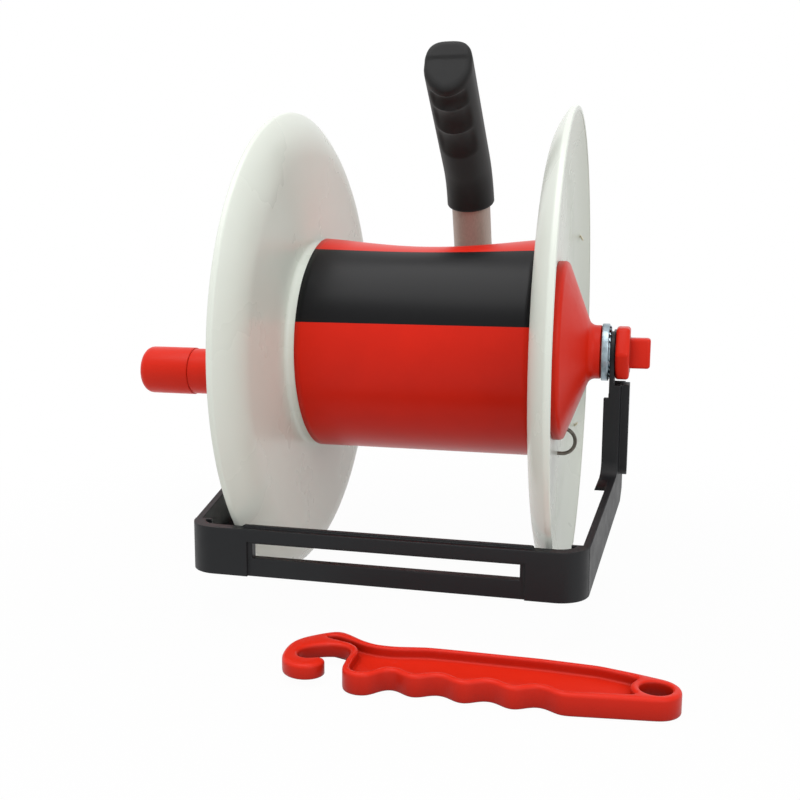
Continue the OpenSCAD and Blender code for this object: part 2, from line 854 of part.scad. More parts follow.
module rear_yoke() {
    low = yoke_mid(yoke_back) - yoke_h / 2;
    color("#28292b") difference() {
        union() {
            intersection() {
                translate([0, 0, -yoke_back]) linear_extrude(2 * yoke_back) yoke_plan();
                side_plate(-yoke_back, yoke_back) polygon([
                    [yoke_front, yoke_mid(yoke_front) - yoke_h / 2], [yoke_back + over, low],
                    [yoke_back + over, low + yoke_h], [yoke_front, yoke_mid(yoke_front) + yoke_h / 2]]);
            }
            along_tube() translate([0, 0, -tube_below]) cylinder(d = tube_d + 2 * socket_wall, h = socket_l);
        }
        along_tube() translate([0, 0, -tube_below + socket_wall])
            cylinder(d = tube_d + 2 * run_fit, h = socket_l + over);
        for (side = [0, 1]) mirror([side, 0, 0])
            yoke_rods(yoke_screw_d + 2 * seat_fit, yoke_x - over, yoke_x + yoke_t + over);
        handle_cross(bolt_d + 2 * run_fit);
    }
}

// Plan of the yoke: two arms, two bends and the bar behind the drum
module yoke_plan() {
    half = yoke_x + yoke_t;
    straight = yoke_back - yoke_bend_r;
    translate([-half + yoke_bend_r, yoke_back - yoke_bar_t]) square([2 * (half - yoke_bend_r), yoke_bar_t]);
    for (side = [0, 1]) mirror([side, 0]) {
        translate([yoke_x, yoke_front]) square([yoke_t, straight - yoke_front]);
        translate([half - yoke_bend_r, straight]) intersection() {
            difference() {
                circle(yoke_bend_r);
                circle(yoke_bend_r - yoke_t);
            }
            square(yoke_bend_r + over);
        }
    }
}

module yoke_screws() {
    outer = yoke_x + yoke_t;
    color("silver") for (side = [0, 1]) mirror([side, 0, 0]) {
        yoke_rods(yoke_screw_d, plate_at, outer);
        yoke_rods(yoke_screw_head_d, outer, outer + yoke_screw_head_t);
    }
}

// Stands a piece on the socket's place, along the lower handle
module along_tube() {
    translate([0, socket_y, socket_z]) rotate([tube_lean, 0, 0]) children();
}

// A rod along the handle's line: straight, bent forwards, straight
module handle_sweep(d, foot, top, bend_at) {
    reach = 2 * tube_bend_r;
    along_tube() {
        translate([0, 0, foot]) cylinder(d = d, h = bend_at - foot);
        translate([0, -tube_bend_r, bend_at]) intersection() {
            rotate([90, 0, -90]) rotate_extrude() translate([tube_bend_r, 0]) circle(d = d);
            translate([-d, 0, 0]) cube([2 * d, reach, reach]);
            rotate([tube_bend, 0, 0]) translate([-d, 0, -reach]) cube([2 * d, reach, reach]);
        }
        above_bend(bend_at) cylinder(d = d, h = top);
    }
}

// Moves a piece from the start of the handle's bend to its end
module above_bend(bend_at, turn = tube_bend) {
    translate([0, -tube_bend_r, bend_at]) rotate([turn, 0, 0]) translate([0, tube_bend_r, 0]) children();
}

// Moves a piece along the handle's line by a run past the start of its bend
module up_grip(run) {
    bent = min(tube_bend, run / (tube_bend_r * PI) * 180);
    above_bend(grip_foot_up + grip_foot_l, bent)
        translate([0, 0, run - bent / 180 * PI * tube_bend_r]) children();
}

module handle_tube() {
    bend_at = grip_foot_up + grip_foot_l;
    color("#827069") difference() {
        handle_sweep(tube_d, -tube_below + socket_wall, grip_top_l - grip_end_t, bend_at);
        handle_sweep(tube_d - 2 * tube_wall, -tube_below, grip_top_l, bend_at);
        handle_cross(bolt_d + 2 * run_fit);
    }
}

module grip() {
    bend_at = grip_foot_up + grip_foot_l;
    groove_off = groove_r + grip_d / 2 - groove_deep;
    end_more = grip_d / 2 * tan(grip_slant) + over;
    color("#2d2e2e") difference() {
        handle_sweep(grip_d, grip_foot_up, grip_top_l + end_more, bend_at);
        handle_sweep(tube_d + 2 * run_fit, grip_foot_up - over, grip_top_l - grip_end_t, bend_at);
        along_tube() for (i = [0:groove_count - 1]) up_grip(groove_first + i * groove_pitch - grip_foot_l)
            translate([-grip_d, -groove_off, 0]) rotate([0, 90, 0]) cylinder(r = groove_r, h = 2 * grip_d);
        along_tube() above_bend(bend_at) translate([0, 0, grip_top_l]) rotate([grip_slant, 0, 0])
            translate([-grip_d, -2 * grip_d, 0]) cube([2 * grip_d, 4 * grip_d, grip_d]);
    }
}

// The bolt through the socket and the tube, or its hole
module handle_cross(d) {
    half = tube_d / 2 + socket_wall;
    along_tube() rod(d, -half - over, half + over);
}

module handle_bolt() {
    half = tube_d / 2 + socket_wall;
    color("silver") along_tube() {
        rod(bolt_d, -half, half);
        for (side = [-1, 1]) rod(bolt_head_d, side * half, side * (half + bolt_head_t));
    }
}

// Share of the way from the last finger's hollow to the end lobe, from 0 to 1
function end_share(x) = min(1, max(0, 1 - (x - end_lobe_x) / (lobe_pitch / 2)));

// Front edge of the hook handle, a wave with a lobe between the fingers that runs into the end lobe
function lobe_edge(x) = -front_mid - lobe_amp * cos((x + lobe_reach) / lobe_pitch * 360)
    - end_more * (1 - cos(180 * end_share(x))) / 2;

// Outline of the hook handle's body from above, drawn in by an inset
module body_outline(inset) {
    waves = (lobe_count - 1) * lobe_steps - 1;
    root_x = -hook_top_x + 2 * inset;
    polygon(concat(
        arc([0, 0], eye_r - inset, 80, -80),
        [for (i = [0:waves]) let (x = -lobe_reach - i * lobe_pitch / lobe_steps) [x, lobe_edge(x) + inset]],
        arc([end_lobe_x, end_lobe_y], end_lobe_r - inset, -90, -180),
        [[body_left + inset, mouth_y - rim_w], [-shoulder_x + rim_w, mouth_y + inset],
            [root_x, mouth_y + 2 * inset], [root_x, hook_top_y + hook_top_r - inset]],
        [[-shoulder_x, shoulder_y - inset], [-neck_x, neck_y - inset]],
        [[-neck_x + neck_run, back_y - inset], [-back_run, back_y - inset]]));
}

// Outline of the open hook with its shoulder and rounded tip
module hook_outline() {
    top = [-hook_top_x, hook_top_y];
    low = [-hook_low_x, hook_low_y];
    difference() {
        union() {
            translate(top) circle(hook_top_r);
            translate(low) circle(hook_low_r);
            polygon([top - [hook_top_r, 0], low - [hook_low_r, 0], low, [body_left, mouth_y],
                [-shoulder_x, shoulder_y], top + [0, hook_top_r]]);
        }
        translate([-curl_x, curl_y]) circle(curl_r);
        translate([-curl_x, mouth_y - curl_r]) circle(curl_r);
        translate([-curl_x - curl_r, curl_y]) square([2 * curl_r, mouth_y - curl_r - curl_y]);
        translate([-curl_x, tip_y]) square([curl_x + body_left, mouth_y - tip_y]);
    }
    translate([-tip_x, tip_y]) circle(tip_r);
}

module hook_handle() {
    mid = hook_floor + hook_body_t / 2;
    pocket_deep = (hook_body_t - web_t) / 2;
    color("red") translate([eye_x, eye_y, mid]) rotate([0, 0, hook_turn]) difference() {
        union() {
            translate([0, 0, -hook_body_t / 2]) linear_extrude(hook_body_t) body_outline(0);
            translate([0, 0, hook_body_t / 2 - hook_t]) linear_extrude(hook_t) hook_outline();
        }
        for (side = [0, 1]) mirror([0, 0, side]) translate([0, 0, web_t / 2])
            linear_extrude(pocket_deep + over) difference() {
                body_outline(rim_w);
                translate([-pocket_end, -eye_r]) square(2 * eye_r);
            }
        translate([0, 0, -hook_body_t]) cylinder(d = eye_d, h = 2 * hook_body_t);
    }
}

frame();
rear_yoke();
yoke_screws();
handle_tube();
grip();
handle_bolt();
axle();
brake_washer();
spring_washer();
brake_knob();
knob_insert();
drum_left();
drum_right();
label_sleeve();
tie_screws();
hub_cone();
drum_bush();
tie_off_loop();
sun_gear();
sun_bush();
ring_gear();
gear_case();
case_screws();
planet_1();
planet_2();
planet_3();
carrier();
planet_pins();
crank_bush();
crank_arm();
crank_screw();
knob_spindle();
crank_knob();
crank_cap();
hook_handle();
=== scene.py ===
"""Looks of the geared fence wire reel: finishes, rounded pieces, camera and soft light.

Every size is in millimetres, in the CAD frame: the axle lies along X, the guide bar is at -Y and Z is up.
"""

import logging
import math
from dataclasses import dataclass, field, replace
from enum import Enum
from typing import Any, Callable, Dict, List, Optional, Sequence, Tuple

import bmesh
import bpy
from mathutils import Matrix, Vector

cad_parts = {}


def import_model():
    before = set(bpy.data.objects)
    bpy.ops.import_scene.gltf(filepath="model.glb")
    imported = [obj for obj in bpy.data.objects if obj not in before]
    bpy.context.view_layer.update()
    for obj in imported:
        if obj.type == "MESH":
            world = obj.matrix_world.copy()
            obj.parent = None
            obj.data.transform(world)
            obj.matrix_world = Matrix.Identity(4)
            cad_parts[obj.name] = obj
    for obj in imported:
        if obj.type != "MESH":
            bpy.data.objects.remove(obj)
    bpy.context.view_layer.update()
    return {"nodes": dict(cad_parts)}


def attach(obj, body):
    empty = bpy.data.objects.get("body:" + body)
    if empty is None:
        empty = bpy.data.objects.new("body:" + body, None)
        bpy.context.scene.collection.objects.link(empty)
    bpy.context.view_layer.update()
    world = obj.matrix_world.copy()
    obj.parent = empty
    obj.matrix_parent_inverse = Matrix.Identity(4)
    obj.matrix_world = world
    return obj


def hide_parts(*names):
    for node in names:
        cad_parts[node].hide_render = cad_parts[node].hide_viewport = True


LOG = logging.getLogger("fence_reel")
MM = 0.001

# Kinds of node that several finishes use.
NOISE = "ShaderNodeTexNoise"
REMAP = "ShaderNodeMapRange"
MIX = "ShaderNodeMix"
MATH = "ShaderNodeMath"
BUMP = "ShaderNodeBump"
# The setting and the socket numbers of a Mix node that mixes colours.
COLOURS = {"data_type": "RGBA"}
SHARE = 0
TONE_A = 6
TONE_B = 7
TONE = 2

# Short names of types.
BMesh = bmesh.types.BMesh
Object = bpy.types.Object
NodeTree = bpy.types.NodeTree
NodeSocket = bpy.types.NodeSocket
Spot = Tuple[float, float]
Triple = Tuple[float, float, float]
Colour = Tuple[float, float, float, float]
Plan = List[Spot]
Ring = List[Vector]
Edges = List[bmesh.types.BMEdge]
Sockets = Dict[str, NodeSocket]
Outline = Callable[[int, float], Triple]


class Body(Enum):
    """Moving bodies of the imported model."""

    FRAME = "frame"
    DRUM = "drum"
    CRANK = "crank"
    CRANK_KNOB = "crank_knob"
    BRAKE_KNOB = "brake_knob"
    HOOK = "hook_handle"


class Slot(Enum):
    """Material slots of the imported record."""

    FLANGE = "flange_plastic"
    RED = "red_plastic"
    LABEL = "label_print"
    BLACK = "black_plastic"
    RUBBER = "grip_rubber"
    TUBE = "tube_metal"
    ZINC = "zinc_steel"
    BUSH = "bush_plastic"
    GEAR = "gear_plastic"
    BRASS = "brass"


class Side(Enum):
    """The two ends of the axle."""

    LEFT = -1
    RIGHT = 1


def limited(value: float) -> float:
    """Limits a share to between 0 and 1."""
    return min(1.0, max(0.0, value))


def eased(share: float) -> float:
    """Softens both ends of a share that runs from 0 to 1."""
    return share * share * (3 - 2 * share)


def linear(code: str) -> Colour:
    """Turns an sRGB hex colour into the linear colour that a shader takes.

    Args:
        code: Six hex digits, such as "d23024".

    Returns:
        Red, green, blue and an alpha of 1.
    """
    channels = [int(code[i : i + 2], 16) / 255 for i in (0, 2, 4)]
    red, green, blue = (c / 12.92 if c <= 0.04045 else ((c + 0.055) / 1.055) ** 2.4 for c in channels)
    return red, green, blue, 1.0


def per_metre(size_mm: float) -> float:
    """Gives the texture scale at which a pattern's features are size_mm across."""
    return 1000.0 / size_mm


def span(low: float, high: float, new_low: float, new_high: float) -> Dict[str, float]:
    """Gives the values that map one range onto another."""
    return {"From Min": low, "From Max": high, "To Min": new_low, "To Max": new_high}


def add_node(
    tree: NodeTree,
    kind: str,
    settings: Optional[Dict[str, Any]] = None,
    values: Optional[Dict[Any, Any]] = None,
    links: Optional[Dict[Any, NodeSocket]] = None,
) -> bpy.types.Node:
    """Adds a node with its settings, socket values and links.

    Args:
        tree: The node tree that gets the node.
        kind: The node's type name.
        settings: Attributes of the node.
        values: Default values by input name or number.
        links: Output sockets by input name or number.

    Returns:
        The new node.
    """
    node = tree.nodes.new(kind)
    for key, value in (settings or {}).items():
        setattr(node, key, value)
    for key, value in (values or {}).items():
        node.inputs[key].default_value = value
    for key, socket in (links or {}).items():
        tree.links.new(socket, node.inputs[key])
    return node


@dataclass(frozen=True)
class Finish:
    """A finish that starts from plain values.

    Each kind of finish adds its own pattern in dress().
    """

    name: str
    slot: Slot
    colour: str
    roughness: float
    ior: float = 1.5
    shine: float = 0.5
    metallic: float = 0.0
    sheen: float = 0.0

    def material(self) -> bpy.types.Material:
        """Makes the finish's material, or gives the one already made.

        Returns:
            The material, named for what the real one is.
        """
        found = bpy.data.materials.get(self.name)
        if found:
            return found
        made = bpy.data.materials.new(self.name)
        made.use_nodes = True
        tree = made.node_tree
        inputs = tree.nodes["Principled BSDF"].inputs
        inputs["Base Color"].default_value = linear(self.colour)
        inputs["Roughness"].default_value = self.roughness
        inputs["IOR"].default_value = self.ior
        inputs["Specular IOR Level"].default_value = self.shine
        inputs["Metallic"].default_value = self.metallic
        inputs["Sheen Weight"].default_value = self.sheen
        place = add_node(tree, "ShaderNodeTexCoord").outputs["Object"]
        for key, socket in self.dress(tree, place).items():
            tree.links.new(socket, inputs[key])
        return made

    def dress(self, tree: NodeTree, place: NodeSocket) -> Sockets:
        """Adds the finish's pattern.

        Args:
            tree: The material's nodes.
            place: Object coordinates, in metres.

        Returns:
            Output sockets by the shader's input that each one feeds.
        """
        raise NotImplementedError


@dataclass(frozen=True)
class MouldedPlastic(Finish):
    """Injection moulded ABS, acetal or nylon: an even colour, faint flow marks, a fine grain and painted
    shade in corners.
    """

    shade: str = "a82018"
    flow_mm: float = 28.0
    mark_mm: float = 9.0
    grain_mm: float = 0.8
    grain_depth_mm: float = 0.02
    scuff: float = 0.10
    scuff_tone: str = "d8d0cc"
    # Tone and reach of the painted shade that darkens corners and recesses.
    corner_shade_tone: str = "6a0a04"
    corner_mm: float = 10.0
    edge_mm: float = 0.9

    def dress(self, tree: NodeTree, place: NodeSocket) -> Sockets:
        """Adds flow marks, pale scuffs, painted corner shade and the grain, drawn coarser than real to show.

        Args:
            tree: The material's nodes.
            place: Object coordinates, in metres.

        Returns:
            Output sockets by the shader's input that each one feeds.
        """
        at = {"Vector": place}
        flow = add_node(tree, NOISE, {}, {"Scale": per_metre(self.flow_mm), "Detail": 3.0}, at)
        spread = add_node(tree, REMAP, {}, span(0.3, 0.55, 0.7, 1.0), {"Value": flow.outputs["Fac"]})
        tones = {TONE_A: linear(self.shade), TONE_B: linear(self.colour)}
        tone = add_node(tree, MIX, COLOURS, tones, {SHARE: spread.outputs["Result"]})
        fine = {"Scale": per_metre(self.mark_mm), "Detail": 9.0, "Roughness": 0.75}
        marks = add_node(tree, NOISE, {}, fine, at)
        worn = add_node(tree, REMAP, {}, span(0.6, 0.72, 0.0, self.scuff), {"Value": marks.outputs["Fac"]})
        over = {SHARE: worn.outputs["Result"], TONE_A: tone.outputs[TONE]}
        pale = add_node(tree, MIX, COLOURS, {TONE_B: linear(self.scuff_tone)}, over)
        # Painted shade: ambient occlusion darkens the colour in corners, recesses and pockets, where shade
        # falls.
        reach = {"Distance": self.corner_mm * MM}
        occlusion = add_node(tree, "ShaderNodeAmbientOcclusion", {"samples": 8}, reach)
        unshaded_share = add_node(tree, REMAP, {}, span(0.15, 0.85, 0.25, 1.0), {"Value": occlusion.outputs["AO"]})
        over = {SHARE: unshaded_share.outputs["Result"], TONE_B: pale.outputs[TONE]}
        shaded = add_node(tree, MIX, COLOURS, {TONE_A: linear(self.corner_shade_tone)}, over)
        gloss = span(0.3, 0.7, self.roughness - 0.06, self.roughness + 0.08)
        dull = add_node(tree, REMAP, {}, gloss, {"Value": marks.outputs["Fac"]})
        grain = add_node(tree, NOISE, {}, {"Scale": per_metre(self.grain_mm), "Detail": 2.0}, at)
        soft = add_node(tree, "ShaderNodeBevel", {"samples": 6}, {"Radius": self.edge_mm * MM})
        depth = {"Strength": 0.35, "Distance": self.grain_depth_mm * MM}
        height = {"Height": grain.outputs["Fac"], "Normal": soft.outputs["Normal"]}
        relief = add_node(tree, BUMP, {}, depth, height)
        return {
            "Base Color": shaded.outputs[TONE],
            "Roughness": dull.outputs["Result"],
            "Normal": relief.outputs["Normal"],
        }


@dataclass(frozen=True)
class NaturalPolypropylene(Finish):
    """Uncoloured polypropylene: milky and glossy, with soft clouds and a very slight waviness."""

    cloud: str = "dbe0d6"
    cloud_mm: float = 70.0
    ripple_mm: float = 18.0
    ripple_depth_mm: float = 0.05

    def dress(self, tree: NodeTree, place: NodeSocket) -> Sockets:
        """Adds milky clouds, an uneven gloss and the waviness of a cooled moulding.

        Args:
            tree: The material's nodes.
            place: Object coordinates, in metres.

        Returns:
            Output sockets by the shader's input that each one feeds.
        """
        at = {"Vector": place}
        wide = {"Scale": per_metre(self.cloud_mm), "Detail": 4.0, "Roughness": 0.55}
        clouds = add_node(tree, NOISE, {}, wide, at)
        tones = {TONE_A: linear(self.cloud), TONE_B: linear(self.colour)}
        tone = add_node(tree, MIX, COLOURS, tones, {SHARE: clouds.outputs["Fac"]})
        gloss = span(0.3, 0.7, self.roughness - 0.05, self.roughness + 0.06)
        haze = add_node(tree, REMAP, {}, gloss, {"Value": clouds.outputs["Fac"]})
        waves = add_node(tree, NOISE, {}, {"Scale": per_metre(self.ripple_mm), "Detail": 0.0}, at)
        depth = {"Strength": 0.1, "Distance": self.ripple_depth_mm * MM}
        relief = add_node(tree, BUMP, {}, depth, {"Height": waves.outputs["Fac"]})
        return {
            "Base Color": tone.outputs[TONE],
            "Roughness": haze.outputs["Result"],
            "Normal": relief.outputs["Normal"],
        }


@dataclass(frozen=True)
class PrintedVinyl(Finish):
    """A glossy printed film: flat red ink with a black band over the upper front and a slight ripple."""

    band: str = "0e0e10"
    band_from_deg: float = 16.8
    band_to_deg: float = 68.0
    shade: str = "cd200e"
    mottle_mm: float = 16.0
    ripple_mm: float = 24.0
    ripple_depth_mm: float = 0.12

    def dress(self, tree: NodeTree, place: NodeSocket) -> Sockets:
        """Prints the band by the angle about the axle, and adds ink mottle and ripples.

        Args:
            tree: The material's nodes.
            place: Object coordinates, in metres.

        Returns:
            Output sockets by the shader's input that each one feeds.
        """
        at = {"Vector": place}
        split = add_node(tree, "ShaderNodeSeparateXYZ", links=at)
        ahead = add_node(tree, MATH, {"operation": "MULTIPLY"}, {1: -1.0}, {0: split.outputs["Y"]})
        sides = {0: split.outputs["Z"], 1: ahead.outputs[0]}
        angle = add_node(tree, MATH, {"operation": "ARCTAN2"}, links=sides)
        limits = {}
        tests = (("GREATER_THAN", self.band_from_deg), ("LESS_THAN", self.band_to_deg))
        for index, (test, deg) in enumerate(tests):
            edge = {1: math.radians(deg)}
            limits[index] = add_node(tree, MATH, {"operation": test}, edge, {0: angle.outputs[0]}).outputs[0]
        inside = add_node(tree, MATH, {"operation": "MULTIPLY"}, links=limits)
        spots = {"Scale": per_metre(self.mottle_mm), "Detail": 6.0, "Roughness": 0.6}
        mottle = add_node(tree, NOISE, {}, spots, at)
        tones = {TONE_A: linear(self.shade), TONE_B: linear(self.colour)}
        ink = add_node(tree, MIX, COLOURS, tones, {SHARE: mottle.outputs["Fac"]})
        over = {SHARE: inside.outputs[0], TONE_A: ink.outputs[TONE]}
        printed = add_node(tree, MIX, COLOURS, {TONE_B: linear(self.band)}, over)
        ripple = add_node(tree, NOISE, {}, {"Scale": per_metre(self.ripple_mm), "Detail": 2.0}, at)
        depth = {"Strength": 0.25, "Distance": self.ripple_depth_mm * MM}
        relief = add_node(tree, BUMP, {}, depth, {"Height": ripple.outputs["Fac"]})
        return {"Base Color": printed.outputs[TONE], "Normal": relief.outputs["Normal"]}


@dataclass(frozen=True)
class SoftRubber(Finish):
    """Moulded thermoplastic rubber: near black, matte, with a stippled skin and a dusty bloom."""

    sheen: float = 0.08
    bloom: str = "171818"
    bloom_mm: float = 14.0
    stipple_mm: float = 1.1
    stipple_depth_mm: float = 0.04

    def dress(self, tree: NodeTree, place: NodeSocket) -> Sockets:
        """Adds the bloom and the stipple, which is drawn coarser than real so that it shows.

        Args:
            tree: The material's nodes.
            place: Object coordinates, in metres.

        Returns:
            Output sockets by the shader's input that each one feeds.
        """
        at = {"Vector": place}
        cloudy = {"Scale": per_metre(self.bloom_mm), "Detail": 6.0, "Roughness": 0.65}
        dust = add_node(tree, NOISE, {}, cloudy, at)
        share = add_node(tree, REMAP, {}, span(0.4, 0.75, 0.0, 0.55), {"Value": dust.outputs["Fac"]})
        tones = {TONE_A: linear(self.colour), TONE_B: linear(self.bloom)}
        tone = add_node(tree, MIX, COLOURS, tones, {SHARE: share.outputs["Result"]})
        stipple = add_node(tree, "ShaderNodeTexVoronoi", {}, {"Scale": per_metre(self.stipple_mm)}, at)
        depth = {"Strength": 0.3, "Distance": self.stipple_depth_mm * MM}
        relief = add_node(tree, BUMP, {}, depth, {"Height": stipple.outputs["Distance"]})
        return {"Base Color": tone.outputs[TONE], "Normal": relief.outputs["Normal"]}


@dataclass(frozen=True)
class DrawnTube(Finish):
    """Drawn metal tube: satin and brownish grey, with fine lines along its length from the die."""

    metallic: float = 0.3
    shade: str = "a4958c"
    line_mm: float = 0.7
    line_stretch: float = 0.02
    line_depth_mm: float = 0.02
    lean_deg: float = 20.9

    def dress(self, tree: NodeTree, place: NodeSocket) -> Sockets:
        """Adds the die lines, stretched along the tube's lower leg.

        Args:
            tree: The material's nodes.
            place: Object coordinates, in metres.

        Returns:
            Output sockets by the shader's input that each one feeds.
        """
        lie = {"Rotation": (math.radians(-self.lean_deg), 0.0, 0.0), "Scale": (1.0, 1.0, self.line_stretch)}
        along = add_node(tree, "ShaderNodeMapping", {}, lie, {"Vector": place})
        thin = {"Scale": per_metre(self.line_mm), "Detail": 3.0}
        lines = add_node(tree, NOISE, {}, thin, {"Vector": along.outputs["Vector"]})
        tones = {TONE_A: linear(self.shade), TONE_B: linear(self.colour)}
        tone = add_node(tree, MIX, COLOURS, tones, {SHARE: lines.outputs["Fac"]})
        gloss = span(0.0, 1.0, self.roughness - 0.08, self.roughness + 0.1)
        dull = add_node(tree, REMAP, {}, gloss, {"Value": lines.outputs["Fac"]})
        depth = {"Strength": 0.2, "Distance": self.line_depth_mm * MM}
        relief = add_node(tree, BUMP, {}, depth, {"Height": lines.outputs["Fac"]})
        return {
            "Base Color": tone.outputs[TONE],
            "Roughness": dull.outputs["Result"],
            "Normal": relief.outputs["Normal"],
        }


@dataclass(frozen=True)
class PlatedMetal(Finish):
    """Zinc plated steel or turned brass: bright, with small patches of a second tone and a brushed haze."""

    metallic: float = 1.0
    shade: str = "8797a1"
    patch_mm: float = 3.0
    patch_depth_mm: float = 0.02

    def dress(self, tree: NodeTree, place: NodeSocket) -> Sockets:
        """Adds the patches of the plating and an uneven polish.

        Args:
            tree: The material's nodes.
            place: Object coordinates, in metres.

        Returns:
            Output sockets by the shader's input that each one feeds.
        """
        small = {"Scale": per_metre(self.patch_mm), "Detail": 5.0, "Roughness": 0.7}
        patches = add_node(tree, NOISE, {}, small, {"Vector": place})
        share = add_node(tree, REMAP, {}, span(0.35, 0.65, 0.0, 1.0), {"Value": patches.outputs["Fac"]})
        tones = {TONE_A: linear(self.shade), TONE_B: linear(self.colour)}
        tone = add_node(tree, MIX, COLOURS, tones, {SHARE: share.outputs["Result"]})
        gloss = span(0.0, 1.0, self.roughness - 0.1, self.roughness + 0.12)
        polish = add_node(tree, REMAP, {}, gloss, {"Value": patches.outputs["Fac"]})
        depth = {"Strength": 0.15, "Distance": self.patch_depth_mm * MM}
        relief = add_node(tree, BUMP, {}, depth, {"Height": patches.outputs["Fac"]})
        return {
            "Base Color": tone.outputs[TONE],
            "Roughness": polish.outputs["Result"],
            "Normal": relief.outputs["Normal"],
        }


# Red ABS has a warm mid red and a semi-gloss that gives soft wide highlights; its corners get the default
# painted shade.
RED_ABS = MouldedPlastic("red_abs_moulded", Slot.RED, "da2610", 0.36, 1.53, 0.16, shade="d0220d", scuff=0.02)
# The hook handle is the same ABS with softer rims, and a darker, wider painted shade that darkens its deep
# pocket.
HOOK_ABS = replace(RED_ABS, name="red_abs_hook_handle", corner_shade_tone="4a0502", corner_mm=32.0, edge_mm=1.4)
# Natural polypropylene is a milky white with soft clouds and a clear gloss.
FLANGE_PP = NaturalPolypropylene("natural_polypropylene", Slot.FLANGE, "e6ebe3", 0.28, 1.49, 0.35)
# Cut back gates leave a paler, creamy scar, with a pale painted shade in its corners.
GATE_PP = MouldedPlastic(
    "cut_polypropylene", Slot.FLANGE, "f3ecd8", 0.5, 1.49, 0.3, shade="ece4cc", corner_shade_tone="c8c0a8", scuff=0.0
)
# Printed vinyl film has flat ink with a smooth gloss.
LABEL_VINYL = PrintedVinyl("printed_vinyl_film", Slot.LABEL, "da2410", 0.32, 1.5, 0.15)
# Glass filled nylon is a soft black with a fine eroded grain, and a near black painted shade in its corners.
FRAME_NYLON = MouldedPlastic(
    "black_glass_filled_nylon",
    Slot.BLACK,
    "0f1114",
    0.46,
    1.52,
    0.3,
    shade="0c0e11",
    corner_shade_tone="060708",
    grain_mm=1.0,
    grain_depth_mm=0.03,
    scuff=0.0,
)
# Thermoplastic rubber is darker and duller than the nylon.
GRIP_RUBBER = SoftRubber("black_thermoplastic_rubber", Slot.RUBBER, "0b0b0c", 0.6, 1.5, 0.3)
# Drawn steel tube under a thin lacquer looks brownish grey.
TUBE_STEEL = DrawnTube("lacquered_drawn_steel", Slot.TUBE, "c4b2a8", 0.45)
# Bright zinc plating has a cold blue tint.
ZINC = PlatedMetal("bright_zinc_plated_steel", Slot.ZINC, "aebfc8", 0.3)
# Galvanised wire weathers to a dull brownish grey.
WIRE = PlatedMetal("galvanised_wire", Slot.ZINC, "8a857d", 0.4, shade="68635c")
# Turned brass keeps a warm yellow.
BRASS = PlatedMetal("turned_brass", Slot.BRASS, "d0a85a", 0.28, shade="b08a42")
# Natural acetal is an even ivory with a waxy gloss, and a painted shade in its corners.
GEAR_ACETAL = MouldedPlastic(
    "natural_acetal", Slot.GEAR, "e4dfcf", 0.34, 1.48, 0.5, shade="d6d0be", corner_shade_tone="b0a890", scuff=0.0
)
# Bushes are oil filled nylon, greyer than the gears, with a painted shade in their corners.
BUSH_NYLON = MouldedPlastic(
    "oil_filled_nylon", Slot.BUSH, "d9d5c6", 0.4, 1.52, 0.5, shade="c6c1b0", corner_shade_tone="a09880", scuff=0.0
)


def meshed(bm: BMesh, name: str) -> bpy.types.Mesh:
    """Makes a mesh of a bmesh.

    Args:
        bm: The bmesh, which is freed.
        name: The mesh's name.

    Returns:
        The mesh.
    """
    mesh = bpy.data.meshes.new(name)
    bm.to_mesh(mesh)
    bm.free()
    return mesh


def in_scene(name: str, data: bpy.types.ID) -> Object:
    """Makes an object and links it to the scene.

    Args:
        name: The object's name.
        data: Its mesh, lamp or camera.

    Returns:
        The object.
    """
    made = bpy.data.objects.new(name, data)
    bpy.context.scene.collection.objects.link(made)
    return made


def put(
    bm: BMesh,
    name: str,
    body: Body,
    finish: Finish,
    replaced: Sequence[str] = (),
    sharp_deg: float = 38.0,
) -> Object:
    """Makes an object of a finished bmesh, dresses it and sets it on its body.

    Args:
        bm: The bmesh, which is freed.
        name: The piece's name.
        body: The body that it moves with.
        finish: Its finish.
        replaced: CAD nodes that it stands for.
        sharp_deg: Edges above this angle keep a sharp shade.

    Returns:
        The piece.
    """
    mesh = meshed(bm, name)
    mesh.shade_smooth()
    mesh.set_sharp_from_angle(angle=math.radians(sharp_deg))
    mesh.materials.append(finish.material())
    piece = in_scene(name, mesh)
    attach(piece, body.value)
    if replaced:
        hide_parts(*replaced)
    LOG.info("piece %s on %s: %d faces", name, body.value, len(mesh.polygons))
    return piece


def fillet(bm: BMesh, geom: Sequence[Any], size_mm: float, affect: str, segments: int = 4) -> None:
    """Rounds edges or corners with the bevel operator.

    Args:
        bm: The bmesh that is rounded.
        geom: Its edges or vertices.
        size_mm: How far the rounding reaches.
        affect: EDGES or VERTICES.
        segments: Steps of the rounding.
    """
    bmesh.ops.bevel(
        bm,
        geom=list(geom),
        offset=size_mm * MM,
        offset_type="OFFSET",
        affect=affect,
        segments=segments,
        profile=0.5,
        material=-1,
        clamp_overlap=True,
    )


def full_turn(bm: BMesh, steps: int, centre: Vector) -> None:
    """Spins all of a bmesh once about a line along X, welds it and turns its faces outwards.

    Args:
        bm: The bmesh, which holds a profile.
        steps: Steps of the turn.
        centre: A point on the line, in metres.
    """
    bmesh.ops.spin(
        bm,
        geom=bm.verts[:] + bm.edges[:],
        cent=centre,
        axis=(1.0, 0.0, 0.0),
        angle=math.tau,
        steps=steps,
        use_merge=True,
    )
    bmesh.ops.remove_doubles(bm, verts=bm.verts[:], dist=MM * MM)
    bmesh.ops.recalc_face_normals(bm, faces=bm.faces[:])


